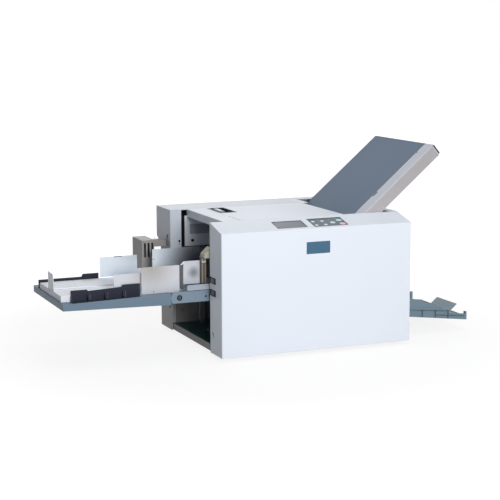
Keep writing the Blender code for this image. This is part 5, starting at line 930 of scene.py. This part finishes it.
# Left side, pan and inside
def add_left_details():
    add_piece("pan_edge", lambda made: block(made, (0.0033, 0.0039), (0.0990, 0.4770), (0.0035, 0.0268)),
            RIM_GREY, "base_pan", 0.0002)

    add_screws("pan_screws", "base_pan", [(0.0759, 0.3251, 0.027), (0.060, 0.150, 0.027)]
            + [(x, y, 0.027) for x in (0.300, 0.560) for y in (0.150, 0.430)], (0, 0, 1), 0.0030, 0.0014)

    # Black discs on the drum in place of its holes: painted shade inside the holes.
    def drum_hole_shade(made):
        for row in range(8):
            turn = 2 * math.pi * row / 8
            for i in range(9):
                y = 0.2025 + 0.0195 * i
                grown = bmesh.ops.create_cone(made, cap_ends=True, segments=10, radius1=0.0026,
                        radius2=0.0026, depth=0.0006)["verts"]
                place = (DRUM[0] + DRUM_RADIUS * math.cos(turn), y, DRUM[1] + DRUM_RADIUS * math.sin(turn))
                move(made, grown, turn_to((math.cos(turn), 0, math.sin(turn))), place)

    add_piece("drum_hole_shade", drum_hole_shade, BLACK_MARKS_AND_SHADE, "suction_drum")

    def bearing_flanges(made):
        for place in BEARINGS:
            for y in (0.1101, 0.4768):
                washer(made, "y", place, 0.0088, 0.0056, y, y + 0.0011)

    add_piece("bearing_flanges", bearing_flanges, TURNED, "front_frame")

    def motor_bands(made):
        for turn in (45, 135, 225, 315):
            x = MOTOR[0] + MOTOR_SCREW_RING * math.cos(math.radians(turn))
            z = MOTOR[1] + MOTOR_SCREW_RING * math.sin(math.radians(turn))
            screw(made, (x, MOTOR_END, z), (0, 1, 0), 0.0022)
        for y in (0.500, 0.550):
            washer(made, "y", MOTOR, 0.0285, 0.0275, y, y + 0.004)

    add_piece("motor_bands", motor_bands, PLATED, "main_motor")

    def cable(made):
        rod(made, "z", (MOTOR[0], 0.5400), 0.0030, 0.0800, 0.2570, 12)
        rod(made, "x", (0.5400, 0.0800), 0.0030, MOTOR[0], 0.6000, 12)
        rod(made, "y", (0.6000, 0.0800), 0.0030, 0.5400, 0.5775, 12)
        for x in (MOTOR[0], 0.6000):
            corner = Matrix.Translation((x, 0.5400, 0.0800))
            bmesh.ops.create_uvsphere(made, u_segments=12, v_segments=8, radius=0.0033, matrix=corner)

    add_piece("motor_cable", cable, BLACK, "main_motor")


# Back, right side and underside
def add_outer_details():
    def back_screws(made):
        for x in (0.030, 0.240, 0.450, 0.670):
            for z in (0.014, 0.420):
                screw(made, (x, BODY_BACK, z), (0, 1, 0))
        for x in (0.5700, 0.6300):
            screw(made, (x, BODY_BACK, 0.070), (0, 1, 0), 0.0022)

    add_piece("back_screws", back_screws, PLATED, "rear_cover")
    add_piece("blank_data_plate", lambda made: outline(made, rounded((0.470, 0.545), (0.050, 0.090),
            0.002), "y", 0.5970, 0.5975), LABEL_GREY, "rear_cover")

    add_screws("side_screws", "right_cover",
            [(BODY_RIGHT, y, z) for y in (0.135, 0.575) for z in (0.016, 0.215, 0.420)], (1, 0, 0))
    add_screws("under_screws", "base_pan",
            [(x, y, 0.003) for x in (0.090, 0.260, 0.430, 0.600) for y in (0.130, 0.570)], (0, 0, -1))

    def under_ribs(made):
        for y in (0.230, 0.350, 0.470):
            block(made, (0.080, 0.620), (y, y + 0.006), (0.0008, 0.0034))

    add_piece("under_ribs", under_ribs, FLOOR_GREEN, "base_pan", 0.0004)

    def foot_rings(made):
        for x in (0.035, 0.665):
            for y in (0.141, 0.561):
                washer(made, "z", (x, y), 0.0195, 0.0158, 0.0016, 0.0031)

    add_piece("foot_rings", foot_rings, PLATED, "base_pan")

    add_screws("blower_screws", "blower_box",
            [(x, 0.594, z) for x in (-0.098, -0.025) for z in (0.222, 0.321)], (0, 1, 0), 0.0020)


# Upper fold plate
def add_plate_details():
    def cap_skin(made, y):
        block(made, (0.3438, 0.3494), y, (-0.0004, 0.0002))
        on_slope(made)

    add_piece("cap_slate_skin", lambda made: cap_skin(made, (0.1675, 0.5440)), SLATE,
            "fold_plate_1_end_cap", 0.0002)
    add_piece("cap_border_skin", lambda made: cap_skin(made, (0.1090, 0.1665)), BORDER,
            "fold_plate_1_end_cap", 0.0002)

    # Black outlines in place of the plate's slots: painted shade inside them.
    def slots(made):
        outline(made, rounded((0.0752, 0.0977), (0.1590, 0.1645), 0.0012), "z", 0.00005, 0.0004)
        outline(made, rounded((0.3010, 0.3062), (0.1625, 0.1660), 0.0008), "z", 0.00005, 0.0004)
        on_slope(made)

    add_piece("plate_slot_shade", slots, BLACK_MARKS_AND_SHADE, "fold_plate_1")

    def edge_lines(made):
        block(made, (0.002, 0.3420), (0.1081, 0.1097), (0.0001, 0.0007))
        block(made, (0.002, 0.3420), (0.1656, 0.1667), (0.0001, 0.0004))
        on_slope(made)

    add_piece("plate_edge_lines", edge_lines, WHITE, "fold_plate_1")

    def rivets(made):
        for x, z in ((0.8423, 0.6160), (0.7338, 0.5247), (0.6500, 0.4540)):
            rod(made, "y", (x, z), 0.0017, 0.1076, 0.1082, 16)

    add_piece("plate_rivets", rivets, PLATED, "fold_plate_1")
    add_piece("plate_side_paint", slope_side, BORDER_WARM, "fold_plate_1")


def slope_side(made):
    """Thin warm-toned skin on the near side of the upper fold plate."""
    outline(made, [(0.004, -0.0008), (0.3412, -0.0008), (0.3412, -0.0410), (0.004, -0.0410)], "y", 0.1077,
            0.1080)
    on_slope(made)


# Delivery side
def trough_low(x):
    return 0.0555 - 0.1044 * (x - 0.77)


def trough_ledge(x):
    return 0.0809 - 0.0877 * (x - 0.77)


def stopper_plate(made):
    outline(made, rounded((0.0, 0.0570), (0.1285, 0.2680), 0.0020), "z", 0, 0.0020)
    on_stopper(made)
    block(made, (0.9170, 0.9300), (0.1600, 0.2360), (0.0395, 0.0530))


def add_delivery_details():
    # Dark strips at the rib places: painted shade in the gaps beside the ribs.
    def ribs(made):
        for x in RIB_PLACES:
            block(made, (x - 0.0012, x + 0.0012), (0.1138, 0.1151),
                    (trough_low(x) - 0.0004, trough_ledge(x) - 0.001))

    add_piece("delivery_rib_gap_shade", ribs, TRAY_PAINTED_SHADE, "delivery_tray")
    add_piece("delivery_flank", lambda made: outline(made, [(0.7030, 0.0880), (0.7030, 0.1444),
            (0.8300, 0.1000), (0.8330, 0.0978), (0.8450, 0.0965), (0.9237, 0.0676), (0.9237, 0.0600)], "y",
            0.1174, 0.1218), DELIVERY_BLUE, "delivery_tray", 0.0004)

    def ledge(made):
        outline(made, [(0.7600, trough_ledge(0.7600)), (0.9245, trough_ledge(0.9245)),
                (0.9245, trough_ledge(0.9245) + 0.0035), (0.7600, trough_ledge(0.7600) + 0.0035)], "y",
                0.1140, 0.1176)

    add_piece("delivery_ledge", ledge, LEDGE_BLUE, "delivery_tray", 0.0003)

    # Dark lines under the ledge and along the trough floor: painted shadow.
    def ledge_shadow_lines(made):
        outline(made, [(0.7600, trough_ledge(0.7600) - 0.0022), (0.9245, trough_ledge(0.9245) - 0.0022),
                (0.9245, trough_ledge(0.9245) - 0.0002), (0.7600, trough_ledge(0.7600) - 0.0002)], "y",
                0.1146, 0.1176)
        outline(made, [(0.8700, trough_low(0.8700) + 0.0068), (0.9900, trough_low(0.9900) + 0.0068),
                (0.9900, trough_low(0.9900) + 0.0082), (0.8700, trough_low(0.8700) + 0.0082)], "y", 0.1146,
                0.1176)

    add_piece("delivery_shadow_lines", ledge_shadow_lines, TRAY_PAINTED_SHADE, "delivery_tray")
    reshape("delivery_stopper", stopper_plate, DELIVERY_BLUE)

    def stopper_spot(made):
        rod(made, "z", (0.0150, 0.2000), 0.0016, -0.0004, 0.0001, 16)
        on_stopper(made)

    add_piece("stopper_spot", stopper_spot, LABEL_WHITE, "delivery_stopper")


# Stage, lights and camera
def make_stage():
    made = bmesh.new()
    bmesh.ops.create_grid(made, x_segments=1, y_segments=1, size=14)
    mesh = bpy.data.meshes.new("floor")
    made.to_mesh(mesh)
    made.free()
    finish, tree, shader = start_finish("pale_floor")
    shader.inputs["Base Color"].default_value = FLOOR_TONE
    shader.inputs["Roughness"].default_value = 0.9
    shader.inputs["Specular IOR Level"].default_value = 0.1
    seen = node(tree, "LightPath")
    glow = node(tree, "Emission")
    glow.inputs["Color"].default_value = (1, 1, 1, 1)
    glow.inputs["Strength"].default_value = FLOOR_GLOW
    mix = node(tree, "MixShader")
    rays = math_node(tree, "MAXIMUM", seen.outputs["Is Camera Ray"], seen.outputs["Is Glossy Ray"])
    rays = math_node(tree, "MAXIMUM", rays, seen.outputs["Is Transmission Ray"])
    place = node(tree, "TexCoord")
    away = node(tree, "VectorMath", operation="LENGTH")
    tree.links.new(place.outputs["Object"], away.inputs[0])
    bright = node(tree, "MapRange", interpolation_type="SMOOTHSTEP")
    for label, value in (("From Min", 0.60), ("From Max", 1.8), ("To Min", 0.77), ("To Max", 1.0)):
        bright.inputs[label].default_value = value
    tree.links.new(away.outputs["Value"], bright.inputs["Value"])
    tree.links.new(math_node(tree, "MULTIPLY", rays, bright.outputs[0]), mix.inputs[0])
    tree.links.new(shader.outputs[0], mix.inputs[1])
    tree.links.new(glow.outputs[0], mix.inputs[2])
    tree.links.new(mix.outputs[0], tree.nodes["Material Output"].inputs["Surface"])
    mesh.materials.append(finish)
    floor = bpy.data.objects.new("floor", mesh)
    bpy.context.scene.collection.objects.link(floor)


def make_world():
    world = bpy.data.worlds.new("studio")
    bpy.context.scene.world = world
    world.use_nodes = True
    tree = world.node_tree
    tree.nodes.clear()
    seen = node(tree, "LightPath")
    room = node(tree, "Background")
    room.inputs["Color"].default_value = (0.93, 0.96, 1.0, 1)
    room.inputs["Strength"].default_value = ROOM_LIGHT
    backdrop = node(tree, "Background")
    backdrop.inputs["Color"].default_value = (1, 1, 1, 1)
    backdrop.inputs["Strength"].default_value = 1.0
    mix = node(tree, "MixShader")
    out = node(tree, "OutputWorld")
    rays = math_node(tree, "MAXIMUM", seen.outputs["Is Camera Ray"], seen.outputs["Is Transmission Ray"])
    rays = math_node(tree, "MAXIMUM", rays, seen.outputs["Is Glossy Ray"])
    tree.links.new(rays, mix.inputs[0])
    tree.links.new(room.outputs[0], mix.inputs[1])
    tree.links.new(backdrop.outputs[0], mix.inputs[2])
    tree.links.new(mix.outputs[0], out.inputs["Surface"])


def make_light(name, place, size, power):
    lamp = bpy.data.lights.new(name, "AREA")
    lamp.shape = "RECTANGLE"
    lamp.size, lamp.size_y = size
    lamp.energy = power
    holder = bpy.data.objects.new(name, lamp)
    holder.location = place
    holder.rotation_euler = (Vector((0, 0, 0.2)) - Vector(place)).to_track_quat("-Z", "Y").to_euler()
    bpy.context.scene.collection.objects.link(holder)


def make_camera():
    lens = bpy.data.cameras.new("photo_camera")
    lens.sensor_width = PHOTO_SENSOR
    lens.lens = PHOTO_LENS
    holder = bpy.data.objects.new("photo_camera", lens)
    facing = Matrix((PHOTO_RIGHT, PHOTO_UP, PHOTO_RIGHT.cross(PHOTO_UP))).transposed()
    holder.matrix_world = Matrix.Translation(PHOTO_PLACE) @ facing.to_4x4()
    bpy.context.scene.collection.objects.link(holder)
    bpy.context.scene.camera = holder


make_stage()
make_world()
for softbox in SOFTBOXES:
    make_light(*softbox)
make_camera()
for row in DRESSED:
    dress(*row)
add_front_details()
add_top_details()
add_feed_details()
add_left_details()
add_plate_details()
add_outer_details()
add_delivery_details()
bpy.context.scene.view_settings.view_transform = "Standard"
